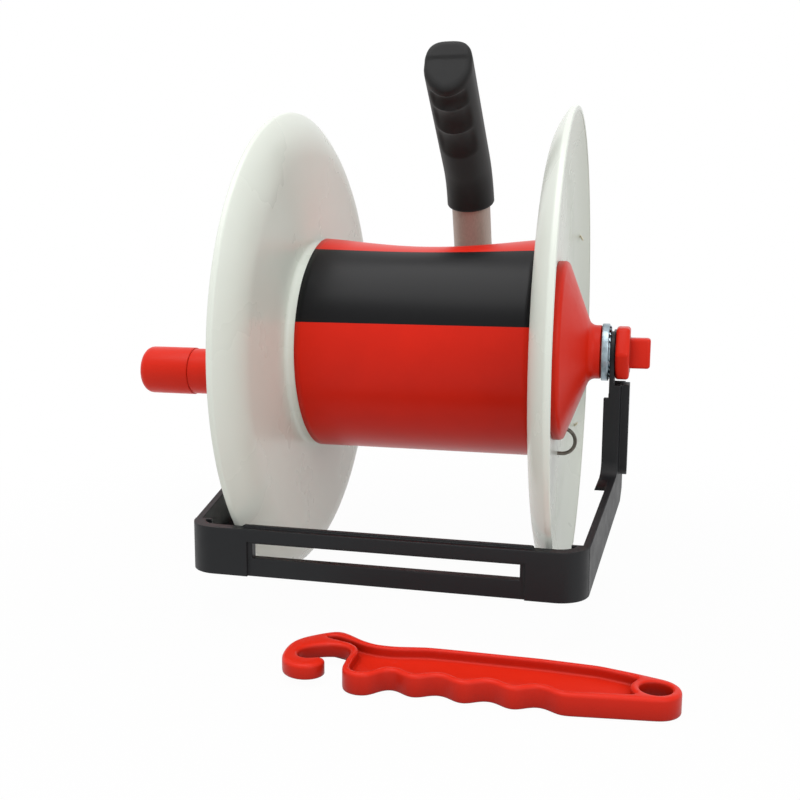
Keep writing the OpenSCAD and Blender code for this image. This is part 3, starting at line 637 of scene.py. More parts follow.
def block(
    bm: BMesh,
    size: Triple,
    at: Triple,
    twist: Matrix = Matrix.Identity(4),
    turn: Matrix = Matrix.Identity(4),
) -> List[bmesh.types.BMVert]:
    """Adds a cuboid.

    Args:
        bm: The bmesh that gets it.
        size: Its lengths.
        at: Its middle, before the turn.
        twist: Rotation about its own middle.
        turn: Rotation about the axle.

    Returns:
        Its vertices.
    """
    made = bmesh.ops.create_cube(bm, size=1.0)["verts"]
    grow = Matrix.Diagonal((*(Vector(size) * MM), 1.0))
    place = Matrix.Translation(Vector(at) * MM)
    bmesh.ops.transform(bm, matrix=turn @ place @ twist @ grow, verts=made)
    return made


def loft(bm: BMesh, rings: Sequence[Ring]) -> Tuple[Edges, Edges]:
    """Lays a circle onto the first of several rings and extrudes it through the others.

    Args:
        bm: The bmesh that gets the wall.
        rings: Closed rings of points, all with as many points.

    Returns:
        The edges of the first ring and of the last.
    """
    place = bm.verts.layers.int.get("place") or bm.verts.layers.int.new("place")
    size = len(rings[0])
    verts = bmesh.ops.create_circle(bm, cap_ends=False, radius=1.0, segments=size)["verts"]
    for index, vert in enumerate(verts):
        vert[place] = index
        vert.co = rings[0][index] * MM
    first = [bm.edges.get((verts[i], verts[i - 1])) for i in range(size)]
    last = first
    for ring in rings[1:]:
        made = bmesh.ops.extrude_edge_only(bm, edges=last)["geom"]
        for vert in (item for item in made if isinstance(item, bmesh.types.BMVert)):
            vert.co = ring[vert[place]] * MM
        last = [item for item in made if isinstance(item, bmesh.types.BMEdge)]
    return first, last


def bow(centre: Spot, radius: float, start_deg: float, end_deg: float, steps: int = 16) -> Plan:
    """Lists points along an arc.

    Args:
        centre: The arc's centre.
        radius: Its radius.
        start_deg: Angle of its first point.
        end_deg: Angle of its last point.
        steps: Steps between them.

    Returns:
        The points in order.
    """
    turns = [math.radians(start_deg + (end_deg - start_deg) * i / steps) for i in range(steps + 1)]
    return [(centre[0] + radius * math.cos(t), centre[1] + radius * math.sin(t)) for t in turns]


def arc(centre: Spot, radius: float, start_deg: float, end_deg: float, steps: int) -> List[Triple]:
    """Gives profile corners along an arc, as radius and place along X, with no rounding of their own."""
    return [(r, x, 0.0) for r, x in bow(centre, radius, start_deg, end_deg, steps)]


def collar(inner: float, outer: float, ends: Spot, rounds: Sequence[float]) -> List[Triple]:
    """Gives the profile of a plain ring.

    Args:
        inner: Radius of its bore.
        outer: Radius of its outside.
        ends: Where it starts and ends along X.
        rounds: Roundings of the bore and the outside at the start, then of the outside and the bore.

    Returns:
        The corners in order.
    """
    start, end = ends
    return list(zip((inner, outer, outer, inner), (start, start, end, end), rounds))


@dataclass
class TurnedShape:
    """A profile turned about a line parallel to the axle.

    Each corner is a radius, a place along X and the size of its rounding.
    """

    corners: Sequence[Triple]
    axis_y: float = 0.0
    axis_z: float = 0.0
    steps: int = 128
    closed: bool = True

    def mesh(self) -> BMesh:
        """Draws the profile, rounds its corners and spins it a full turn.

        Returns:
            A closed bmesh with its faces outwards.
        """
        bm = bmesh.new()
        centre = Vector((0.0, self.axis_y, self.axis_z)) * MM
        points = [bm.verts.new(centre + Vector((x, r, 0.0)) * MM) for r, x, _ in self.corners]
        ends = points[1:] + points[:1] if self.closed else points[1:]
        for start, end in zip(points, ends):
            bm.edges.new((start, end))
        for point, corner in zip(points, self.corners):
            if corner[2] > 0:
                fillet(bm, [point], corner[2], "VERTICES", segments=5)
        full_turn(bm, self.steps, centre)
        return bm


@dataclass
class Station:
    """A place along a swept line and the direction that the line takes there."""

    centre: Vector
    along: Vector


@dataclass
class SweptShape:
    """A ring carried along a line that lies in one plane, and closed at both ends."""

    stations: Sequence[Station]
    across: Vector
    outline: Outline
    sides: int = 48

    def spot(self, index: int, turn: float) -> Vector:
        """Gives a point of one ring.

        Args:
            index: The station's number.
            turn: Angle round the ring, from the side that the line bends to.

        Returns:
            The point.
        """
        station = self.stations[index]
        inward = self.across.cross(station.along)
        wide, deep, ahead = self.outline(index, turn)
        return station.centre + self.across * wide + inward * deep + station.along * ahead

    def mesh(self) -> BMesh:
        """Extrudes a circle from station to station and fills both ends.

        Returns:
            A closed bmesh with its faces outwards.
        """
        bm = bmesh.new()
        turns = [math.pi - math.tau * i / self.sides for i in range(self.sides)]
        rings = [[self.spot(index, turn) for turn in turns] for index in range(len(self.stations))]
        for edges in loft(bm, rings):
            bmesh.ops.edgeloop_fill(bm, edges=edges)
        bmesh.ops.recalc_face_normals(bm, faces=bm.faces[:])
        return bm


@dataclass
class CadDress:
    """Finishes for CAD nodes, as they are or as a copy with its edges rounded."""

    nodes: Dict[str, Object]
    weld: float = 0.005
    flat_deg: float = 0.6
    sharp_deg: float = 30.0
    edge_deg: float = 28.0
    edge_steps: int = 4

    def plain(self, finish: Finish, *names: str) -> None:
        """Gives CAD nodes a finish and leaves their shape.

        Args:
            finish: The finish.
            names: The nodes.
        """
        for name in names:
            materials = self.nodes[name].data.materials
            materials.clear()
            materials.append(finish.material())
            LOG.info("node %s keeps its shape", name)

    def rounded(self, node: str, name: str, body: Body, finish: Finish, size_mm: float) -> None:
        """Stands a copy of a CAD node in its place, merged and with rounded edges.

        Args:
            node: The CAD node.
            name: The copy's name.
            body: The body that it moves with.
            finish: Its finish.
            size_mm: Size of the rounding.
        """
        bm = bmesh.new()
        bm.from_mesh(self.nodes[node].data)
        bmesh.ops.remove_doubles(bm, verts=bm.verts[:], dist=self.weld * MM)
        flat = math.radians(self.flat_deg)
        bmesh.ops.dissolve_limit(bm, angle_limit=flat, verts=bm.verts[:], edges=bm.edges[:], delimit=set())
        piece = put(bm, name, body, finish, [node], self.sharp_deg)
        edge = piece.modifiers.new("edge_rounding", "BEVEL")
        edge.width = size_mm * MM
        edge.segments = self.edge_steps
        edge.limit_method = "ANGLE"
        edge.angle_limit = math.radians(self.edge_deg)
        edge.harden_normals = True


@dataclass
class WindingDrum:
    """The white drum: two flanges with flared lips, the core and the printed wrap round it."""

    flange_in: float = 62.0
    flange_t: float = 3.0
    flange_steps: int = 192
    lip_start_r: float = 97.5
    lip_r: float = 32.625
    lip_turn_deg: float = 43.6028
    lip_steps: int = 12
    core_r: float = 53.0
    core_wall: float = 3.0
    core_fillet: float = 2.2
    fillet_steps: int = 6
    hub_r: float = 14.0
    bore_r: float = 9.02
    hub_l: float = 20.0
    edge_x: float = 73.6
    edge_w: float = 2.2
    edge_round: float = 0.7
    edge_in_round: float = 0.3
    wrap_r: float = 53.42
    wrap_half: float = 57.2
    wrap_t: float = 0.7
    wrap_lift: float = 2.2
    wrap_sag: float = 2.0
    wrap_top_deg: float = 96.0
    wrap_lift_deg: float = 45.0
    wrap_cuts: int = 31
    wrap_steps: int = 160
    waist_in: Spot = (1.0, 5.0)
    scar_t: float = 0.8
    scar_l: float = 9.0
    scar_w: float = 1.6
    scar_r: float = 111.0
    scar_x: float = 68.4
    scar_tilt_deg: float = 24.0
    scar_round: float = 0.3
    scar_degs: Sequence[float] = (31.7, -29.6)

    def half(self, side: Side) -> None:
        """Turns one flange with its half of the core, which has a slight waist under the film.

        Args:
            side: Which end of the axle.
        """
        out = self.flange_in + self.flange_t
        lip = (self.lip_start_r, self.flange_in + self.lip_r)
        corner = (self.core_r + self.core_fillet, self.flange_in - self.core_fillet)
        inner = self.core_r - self.core_wall
        waist = self.core_r - self.wrap_sag - self.wrap_t
        hub_end = self.flange_in - self.hub_l
        lip_end = self.lip_turn_deg - 90
        rim_out = arc(lip, self.lip_r - self.flange_t, -90, lip_end, self.lip_steps)
        rim_in = arc(lip, self.lip_r, lip_end, -90, self.lip_steps)
        rim_r = rim_in[0][0]
        rim_in[0] = (rim_r, rim_in[0][1], self.edge_round)
        edge = [
            (rim_r - self.edge_w, self.edge_x, self.edge_in_round),
            (rim_r, self.edge_x, self.edge_round),
        ]
        inside = [
            (self.core_r, self.wrap_half - self.waist_in[0]),
            (waist, self.wrap_half - self.waist_in[1]),
            (waist, 0.0),
            (inner, 0.0),
            (inner, self.flange_in),
            (self.hub_r, self.flange_in),
            (self.hub_r, hub_end),
            (self.bore_r, hub_end),
        ]
        profile = [(self.bore_r, out, 0.0)] + rim_out + edge + rim_in
        profile += arc(corner, self.core_fillet, 90, 180, self.fillet_steps)
        profile += [(r, x, 0.0) for r, x in inside]
        profile = [(r, x * side.value, rounding) for r, x, rounding in profile]
        bm = TurnedShape(profile, steps=self.flange_steps).mesh()
        name = side.name.lower()
        put(bm, "flange_" + name, Body.DRUM, FLANGE_PP, ["drum_" + name])

    def gate_scars(self) -> None:
        """Lays two short moulding scars on the right flange's lip."""
        bm = bmesh.new()
        tilt = Matrix.Rotation(math.radians(self.scar_tilt_deg), 4, "Z")
        for deg in self.scar_degs:
            turn = Matrix.Rotation(math.radians(deg), 4, "X")
            size = (self.scar_t, self.scar_l, self.scar_w)
            block(bm, size, (self.scar_x, self.scar_r, 0.0), tilt, turn)
        fillet(bm, bm.edges[:], self.scar_round, "EDGES", segments=2)
        put(bm, "gate_scars", Body.DRUM, GATE_PP)

    def wrap(self) -> None:
        """Wraps the printed film round the core, loose at the top: lifted at both ends, sagged between."""
        bm = bmesh.new()
        half = self.wrap_half * MM
        ends = [bm.verts.new((x, self.wrap_r * MM, 0.0)) for x in (-half, half)]
        bmesh.ops.subdivide_edges(bm, edges=[bm.edges.new(ends)], cuts=self.wrap_cuts)
        full_turn(bm, self.wrap_steps, Vector())
        for vert in bm.verts:
            angle = math.degrees(math.atan2(vert.co.z, -vert.co.y))
            near = eased(limited(1.0 - abs(angle - self.wrap_top_deg) / self.wrap_lift_deg))
            out = (vert.co.x / half) ** 2
            lift = (self.wrap_lift * out - self.wrap_sag * (1 - out) ** 2) * near
            grow = 1.0 + lift / self.wrap_r
            vert.co = Vector((vert.co.x, vert.co.y * grow, vert.co.z * grow))
        piece = put(bm, "printed_wrap", Body.DRUM, LABEL_VINYL, ["label_sleeve"])
        wall = piece.modifiers.new("film_wall", "SOLIDIFY")
        wall.thickness = self.wrap_t * MM
        wall.offset = 0.0

    def build(self) -> None:
        """Makes all the drum's pieces."""
        self.half(Side.LEFT)
        self.half(Side.RIGHT)
        self.gate_scars()
        self.wrap()


@dataclass
class HubAndBrake:
    """The red cone on the drum, and the washers and winged knob of the friction brake outside it."""

    base_r: float = 45.3
    base_x: float = 65.0
    base_round: float = 0.3
    rim_x: float = 69.7
    rim_round: float = 1.6
    neck_r: float = 13.5
    neck_x: float = 82.0
    neck_round: float = 2.5
    end_x: float = 87.3
    end_round: float = 0.6
    ring_w: float = 12.0
    ring_t: float = 3.5
    wall: float = 3.0
    bore_r: float = 6.3
    bore_round: float = 0.3
    washer_r: float = 14.4
    washer_x: Spot = (87.6, 91.2)
    washer_rounds: Sequence[float] = (0.2, 0.5, 0.5, 0.2)
    axle_r: float = 6.06
    star_r: float = 11.6
    star_x: Spot = (91.35, 91.85)
    star_steps: int = 88
    star_teeth: int = 22
    tooth_l: float = 2.6
    tooth_w: float = 1.5
    tooth_in: float = 0.9
    tooth_twist_deg: float = 22.0
    hex_r: float = 14.8
    hex_x: Spot = (94.5, 101.3)
    wing_x: Spot = (99.5, 111.3)
    wing_size: Spot = (9.0, 15.0)
    knob_round: float = 1.5

    def cone(self) -> None:
        """Turns the hub cone with a soft rim and a filleted neck."""
        ring_in = self.base_r - self.ring_w
        profile = [
            (ring_in, self.base_x, 0.0),
            (self.base_r, self.base_x, self.base_round),
            (self.base_r, self.rim_x, self.rim_round),
            (self.neck_r, self.neck_x, self.neck_round),
            (self.neck_r, self.end_x, self.end_round),
            (self.bore_r, self.end_x, self.bore_round),
            (self.bore_r, self.neck_x - self.wall, 0.0),
            (self.neck_r, self.neck_x - self.wall, 0.0),
            (ring_in, self.base_x + self.ring_t, 0.0),
        ]
        put(TurnedShape(profile).mesh(), "hub_cone_moulding", Body.DRUM, RED_ABS, ["hub_cone"])

    def washer(self) -> None:
        """Turns the thick zinc washer with broken edges."""
        bm = TurnedShape(collar(self.axle_r, self.washer_r, self.washer_x, self.washer_rounds)).mesh()
        put(bm, "zinc_brake_washer", Body.FRAME, ZINC, ["brake_washer"])

    def star_washer(self) -> None:
        """Builds the thin lock washer with its ring of twisted teeth."""
        start, end = self.star_x
        profile = collar(self.axle_r, self.star_r, self.star_x, (0.0, 0.0, 0.0, 0.0))
        bm = TurnedShape(profile, steps=self.star_steps).mesh()
        twist = Matrix.Rotation(math.radians(self.tooth_twist_deg), 4, "Y")
        size = (end - start, self.tooth_l, self.tooth_w)
        spot = ((start + end) / 2, self.star_r + self.tooth_l / 2 - self.tooth_in, 0.0)
        for index in range(self.star_teeth):
            block(bm, size, spot, twist, Matrix.Rotation(math.tau * index / self.star_teeth, 4, "X"))
        put(bm, "star_lock_washer", Body.FRAME, ZINC, ["spring_washer"])

    def knob(self) -> None:
        """Builds the hexagonal knob with its square wing, all edges soft."""
        bm = bmesh.new()
        start, end = self.hex_x
        size = self.hex_r * MM
        bmesh.ops.create_cone(
            bm, cap_ends=True, segments=6, radius1=size, radius2=size, depth=(end - start) * MM
        )
        lay = Matrix.Translation(((start + end) / 2 * MM, 0.0, 0.0)) @ Matrix.Rotation(math.pi / 2, 4, "Y")
        bmesh.ops.transform(bm, matrix=lay, verts=bm.verts[:])
        fillet(bm, bm.edges[:], self.knob_round, "EDGES")
        first, last = self.wing_x
        wing = block(bm, (last - first, *self.wing_size), ((first + last) / 2, 0.0, 0.0))
        edges = dict.fromkeys(edge for vert in wing for edge in vert.link_edges)
        fillet(bm, list(edges), self.knob_round, "EDGES")
        bmesh.ops.recalc_face_normals(bm, faces=bm.faces[:])
        put(bm, "winged_brake_knob", Body.BRAKE_KNOB, RED_ABS, ["brake_knob"])

    def build(self) -> None:
        """Makes all the cone's and brake's pieces."""
        self.cone()
        self.washer()
        self.star_washer()
        self.knob()


@dataclass
class CrankKnob:
    """The turning knob at the crank's end: a sleeve and a cap with a rounded end."""

    axis_y: float = 75.175
    axis_z: float = -27.362
    steps: int = 96
    sleeve_r: float = 14.25
    sleeve_x: Spot = (-112.3, -169.0)
    sleeve_rounds: Sequence[float] = (0.3, 2.0, 0.3, 0.0)
    bore_r: float = 4.05
    cap_r: float = 14.8
    cap_end: float = -202.3
    cap_round: float = 5.0
    mouth_round: float = 0.5

    def sleeve(self) -> None:
        """Turns the long sleeve with softened ends."""
        profile = collar(self.bore_r, self.sleeve_r, self.sleeve_x, self.sleeve_rounds)
        bm = TurnedShape(profile, self.axis_y, self.axis_z, self.steps).mesh()
        put(bm, "crank_sleeve", Body.CRANK_KNOB, RED_ABS, ["crank_knob"])

    def cap(self) -> None:
        """Turns the cap with a soft mouth, which leaves a parting line, and a rounded end."""
        mouth = self.sleeve_x[1]
        profile = [
            (self.bore_r, mouth, 0.0),
            (self.cap_r, mouth, self.mouth_round),
            (self.cap_r, self.cap_end, self.cap_round),
            (0.0, self.cap_end, 0.0),
        ]
        bm = TurnedShape(profile, self.axis_y, self.axis_z, self.steps, closed=False).mesh()
        put(bm, "crank_end_cap", Body.CRANK_KNOB, RED_ABS, ["crank_cap"])

    def build(self) -> None:
        """Makes the knob's two pieces."""
        self.sleeve()
        self.cap()


@dataclass
class CarryGrip:
    """The rubber grip on the bent handle tube, with three finger recesses and a slanted end.

    Each of its runs is a distance from the foot and a share that the ring there is drawn in to.
    """

    socket_y: float = 147.1
    socket_z: float = -15.0
    lean_deg: float = 20.9
    bend_deg: float = 32.5204
    bend_r: float = 52.0
    bend_up: float = 100.0
    foot_up: float = 97.5
    top_l: float = 77.2
    tube_r: float = 11.85
    foot_half: float = 14.4
    top_half: float = 13.2
    depth_half: float = 14.5
    recess_spans: Sequence[Spot] = ((52.7, 71.5), (72.6, 89.2), (90.4, 102.5))
    recess_deep: float = 2.5
    recess_power: float = 0.6
    recess_deg: float = 38.0
    recess_fade_deg: float = 20.0
    end_slant_deg: float = 16.2602
    end_slant_from: float = 0.86
    end_round: float = 3.0
    end_steps: int = 5
    end_rings: int = 12
    end_up: float = 0.1
    end_draw: Spot = (0.74, 0.06)
    back_square: float = 0.35
    front_square: float = 0.5
    fold_at: float = -4.0
    fold_soft: float = 0.5
    fold_up: float = 0.6
    fold_share: float = 0.995
    foot_front: float = 1.2
    foot_back: float = 2.6
    foot_l: float = 12.0
    foot_inside: Sequence[float] = (3.0, 0.4)
    foot_runs: Sequence[Spot] = ((0.0, 0.93), (0.3, 0.97), (1.2, 1.0))
    body_from: float = 2.0
    step: float = 1.0
    sides: int = 72
    runs: List[Spot] = field(default_factory=list)

    def length(self) -> float:
        """Gives the grip's length along its middle line."""
        return self.bend_up - self.foot_up + math.radians(self.bend_deg) * self.bend_r + self.top_l

    def station(self, run: float) -> Station:
        """Gives a place on the handle's line.

        Args:
            run: Distance from the grip's foot.

        Returns:
            The place and the line's direction there.
        """
        lean = math.radians(self.lean_deg)
        up = Vector((0.0, -math.sin(lean), math.cos(lean)))
        ahead = Vector((0.0, -math.cos(lean), -math.sin(lean)))
        past = self.foot_up + run - self.bend_up
        start = Vector((0.0, self.socket_y, self.socket_z)) + up * self.bend_up
        if past <= 0:
            return Station(start + up * past, up)
        turn = min(past / self.bend_r, math.radians(self.bend_deg))
        centre = start + up * (self.bend_r * math.sin(turn)) + ahead * (self.bend_r * (1 - math.cos(turn)))
        along = up * math.cos(turn) + ahead * math.sin(turn)
        return Station(centre + along * (past - turn * self.bend_r), along)

    def recess(self, run: float, turn: float) -> float:
        """Gives the depth of the finger recesses at a place on the skin.

        Args:
            run: Distance from the foot.
            turn: Angle from the front, in radians.

        Returns:
            Depth in millimetres.
        """
        side = (abs(math.degrees(turn)) - self.recess_deg) / self.recess_fade_deg
        window = eased(limited(1.0 - side))
        for start, end in self.recess_spans:
            share = (run - start) / (end - start)
            if 0.0 < share < 1.0:
                return self.recess_deep * window * math.sin(math.pi * share) ** self.recess_power
        return 0.0

    def skin(self, index: int, turn: float) -> Triple:
        """Gives the ring's outline at one station.

        Args:
            index: The station's number.
            turn: Angle from the front, in radians.

        Returns:
            Offsets across, towards the front and along the line.
        """
        run, shrink = self.runs[index]
        share = run / self.length()
        half = self.foot_half + (self.top_half - self.foot_half) * share
        deep = self.depth_half - self.recess(run, turn)
        wide, ahead = math.sin(turn), math.cos(turn)
        if ahead < 0:
            power = 1 - self.back_square * share
            wide = math.copysign(abs(wide) ** power, wide)
            ahead = -(abs(ahead) ** power)
        else:
            wide *= 1 - self.front_square * self.back_square * share * ahead * ahead
        deep_at = deep * ahead * shrink
        reach = limited((share - self.end_slant_from) / (1 - self.end_slant_from))
        rise = -math.tan(math.radians(self.end_slant_deg)) * deep_at * reach
        if shrink < self.fold_share and run > self.length() / 2:
            rise += self.fold_up * limited(self.fold_at + self.fold_soft - deep_at)
        foot = max(0.0, 1.0 - run / self.foot_l)
        rise += foot * (self.foot_front + self.foot_back * (1 - math.cos(turn)) / 2)
        return half * wide * shrink, deep_at, rise

    def build(self) -> None:
        """Sweeps the grip, from the inside of its foot to the middle of its slanted end."""
        total = self.length()
        self.runs = [(run, self.tube_r / self.depth_half) for run in self.foot_inside]
        self.runs += self.foot_runs
        count = int((total - self.end_round - self.body_from) / self.step)
        self.runs += [(self.body_from + i * self.step, 1.0) for i in range(count)]
        for i in range(self.end_steps):
            angle = (i + 1) / self.end_steps * math.pi / 2
            run = total - self.end_round + self.end_round * math.sin(angle)
            self.runs.append((run, 1.0 - self.end_round / self.depth_half * (1 - math.cos(angle))))
        start, less = self.end_draw
        self.runs += [(total + self.end_up, start - less * i) for i in range(self.end_rings)]
        stations = [self.station(run) for run, _ in self.runs]
        bm = SweptShape(stations, Vector((1.0, 0.0, 0.0)), self.skin, self.sides).mesh()
        put(bm, "rubber_grip", Body.FRAME, GRIP_RUBBER, ["grip"], sharp_deg=50.0)


@dataclass
class TieLoop:
    """The bent wire loop on the right flange that the wire's end is tied to."""

    wire_r: float = 1.0
    wire_sides: int = 20
    bend_r: float = 6.8
    bend_steps: int = 24
    foot_x: float = 63.5
    bend_x: float = 67.4
    place_y: float = 21.0
    place_z: float = -50.5

    def section(self, _: int, turn: float) -> Triple:
        """Gives the round section of the wire."""
        return self.wire_r * math.sin(turn), self.wire_r * math.cos(turn), 0.0

    def build(self) -> None:
        """Sweeps the wire round its U."""
        top = Vector((self.foot_x, self.place_y, self.place_z + self.bend_r))
        low = Vector((self.foot_x, self.place_y, self.place_z - self.bend_r))
        stations = [Station(top, Vector((1.0, 0.0, 0.0)))]
        for index in range(self.bend_steps + 1):
            turn = math.pi * index / self.bend_steps
            spot = Vector((self.bend_x, self.place_y, self.place_z))
            spot += Vector((math.sin(turn), 0.0, math.cos(turn))) * self.bend_r
            stations.append(Station(spot, Vector((math.cos(turn), 0.0, -math.sin(turn)))))
        stations.append(Station(low, Vector((-1.0, 0.0, 0.0))))
        bm = SweptShape(stations, Vector((0.0, 1.0, 0.0)), self.section, self.wire_sides).mesh()
        put(bm, "wire_tie_loop", Body.DRUM, WIRE, ["tie_off_loop"])


@dataclass
class Head:
    """One screw or bolt head: where its seat is, which way it faces and its size."""

    seat: Triple
    facing: Triple
    radius: float
    tall: float
    sides: int = 6
    socket: bool = False
    edge_round: float = 0.6
    edge_share: float = 0.3
    wall_share: float = 0.35
    socket_share: float = 0.55

    def add(self, bm: BMesh) -> None:
        """Adds the head to a bmesh, with soft edges and a recess if it has one.

        Args:
            bm: The bmesh that gets it.
        """
        part = bmesh.new()
        size = self.radius * MM
        bmesh.ops.create_cone(
            part, cap_ends=True, segments=self.sides, radius1=size, radius2=size, depth=self.tall * MM
        )
        bmesh.ops.translate(part, vec=(0.0, 0.0, self.tall / 2 * MM), verts=part.verts[:])
        crown = max(part.faces, key=lambda face: face.calc_center_median().z)
        rounding = min(self.edge_round, self.tall * self.edge_share)
        fillet(part, crown.edges[:], rounding, "EDGES", segments=3)
        if self.socket:
            crown = max(part.faces, key=lambda face: face.calc_center_median().z)
            bmesh.ops.inset_individual(part, faces=[crown], thickness=size * self.wall_share, depth=0.0)
            down = bmesh.ops.extrude_discrete_faces(part, faces=[crown])["faces"]
            sunk = [vert for face in down for vert in face.verts]
            bmesh.ops.translate(part, vec=(0.0, 0.0, -self.tall * self.socket_share * MM), verts=sunk)
        turn = Vector((0.0, 0.0, 1.0)).rotation_difference(Vector(self.facing)).to_matrix().to_4x4()
        spot = Matrix.Translation(Vector(self.seat) * MM)
        bmesh.ops.transform(part, matrix=spot @ turn, verts=part.verts[:])
        scratch = meshed(part, "head")
        bm.from_mesh(scratch)
        bpy.data.meshes.remove(scratch)


@dataclass
class Fasteners:
    """Screw and bolt heads that show at the sides and the back, each with a radius and a height."""

    yoke_x: float = 99.2
    yoke_spots: Sequence[Spot] = ((24.0, -0.63), (38.0, -1.89))
    yoke_head: Spot = (3.6, 2.4)
    yoke_sides: int = 24
    crank_x: float = -112.0
    crank_head: Spot = (8.0, 3.0)
    socket_y: float = 147.1
    socket_z: float = -15.0
    bolt_x: float = 15.75
    bolt_head: Spot = (4.6, 3.5)

    def group(self, name: str, body: Body, heads: Sequence[Head], node: str) -> None:
        """Makes one piece of several heads.

        Args:
            name: The piece's name.
            body: The body that it moves with.
            heads: The heads.
            node: The CAD node that it stands for.
        """
        bm = bmesh.new()
        for head in heads:
            head.add(bm)
        bmesh.ops.recalc_face_normals(bm, faces=bm.faces[:])
        put(bm, name, body, ZINC, [node], sharp_deg=30.0)

    def build(self) -> None:
        """Makes the yoke's screws, the crank's screw and the handle's bolt."""
        yoke: List[Head] = []
        bolt: List[Head] = []
        for side in (-1.0, 1.0):
            facing = (side, 0.0, 0.0)
            for y, z in self.yoke_spots:
                yoke.append(Head((side * self.yoke_x, y, z), facing, *self.yoke_head, self.yoke_sides, True))
            bolt.append(Head((side * self.bolt_x, self.socket_y, self.socket_z), facing, *self.bolt_head))
        crank = [Head((self.crank_x, 0.0, 0.0), (-1.0, 0.0, 0.0), *self.crank_head)]
        self.group("yoke_screw_heads", Body.FRAME, yoke, "yoke_screws")
        self.group("crank_screw_head", Body.CRANK, crank, "crank_screw")
        self.group("handle_bolt_heads", Body.FRAME, bolt, "handle_bolt")


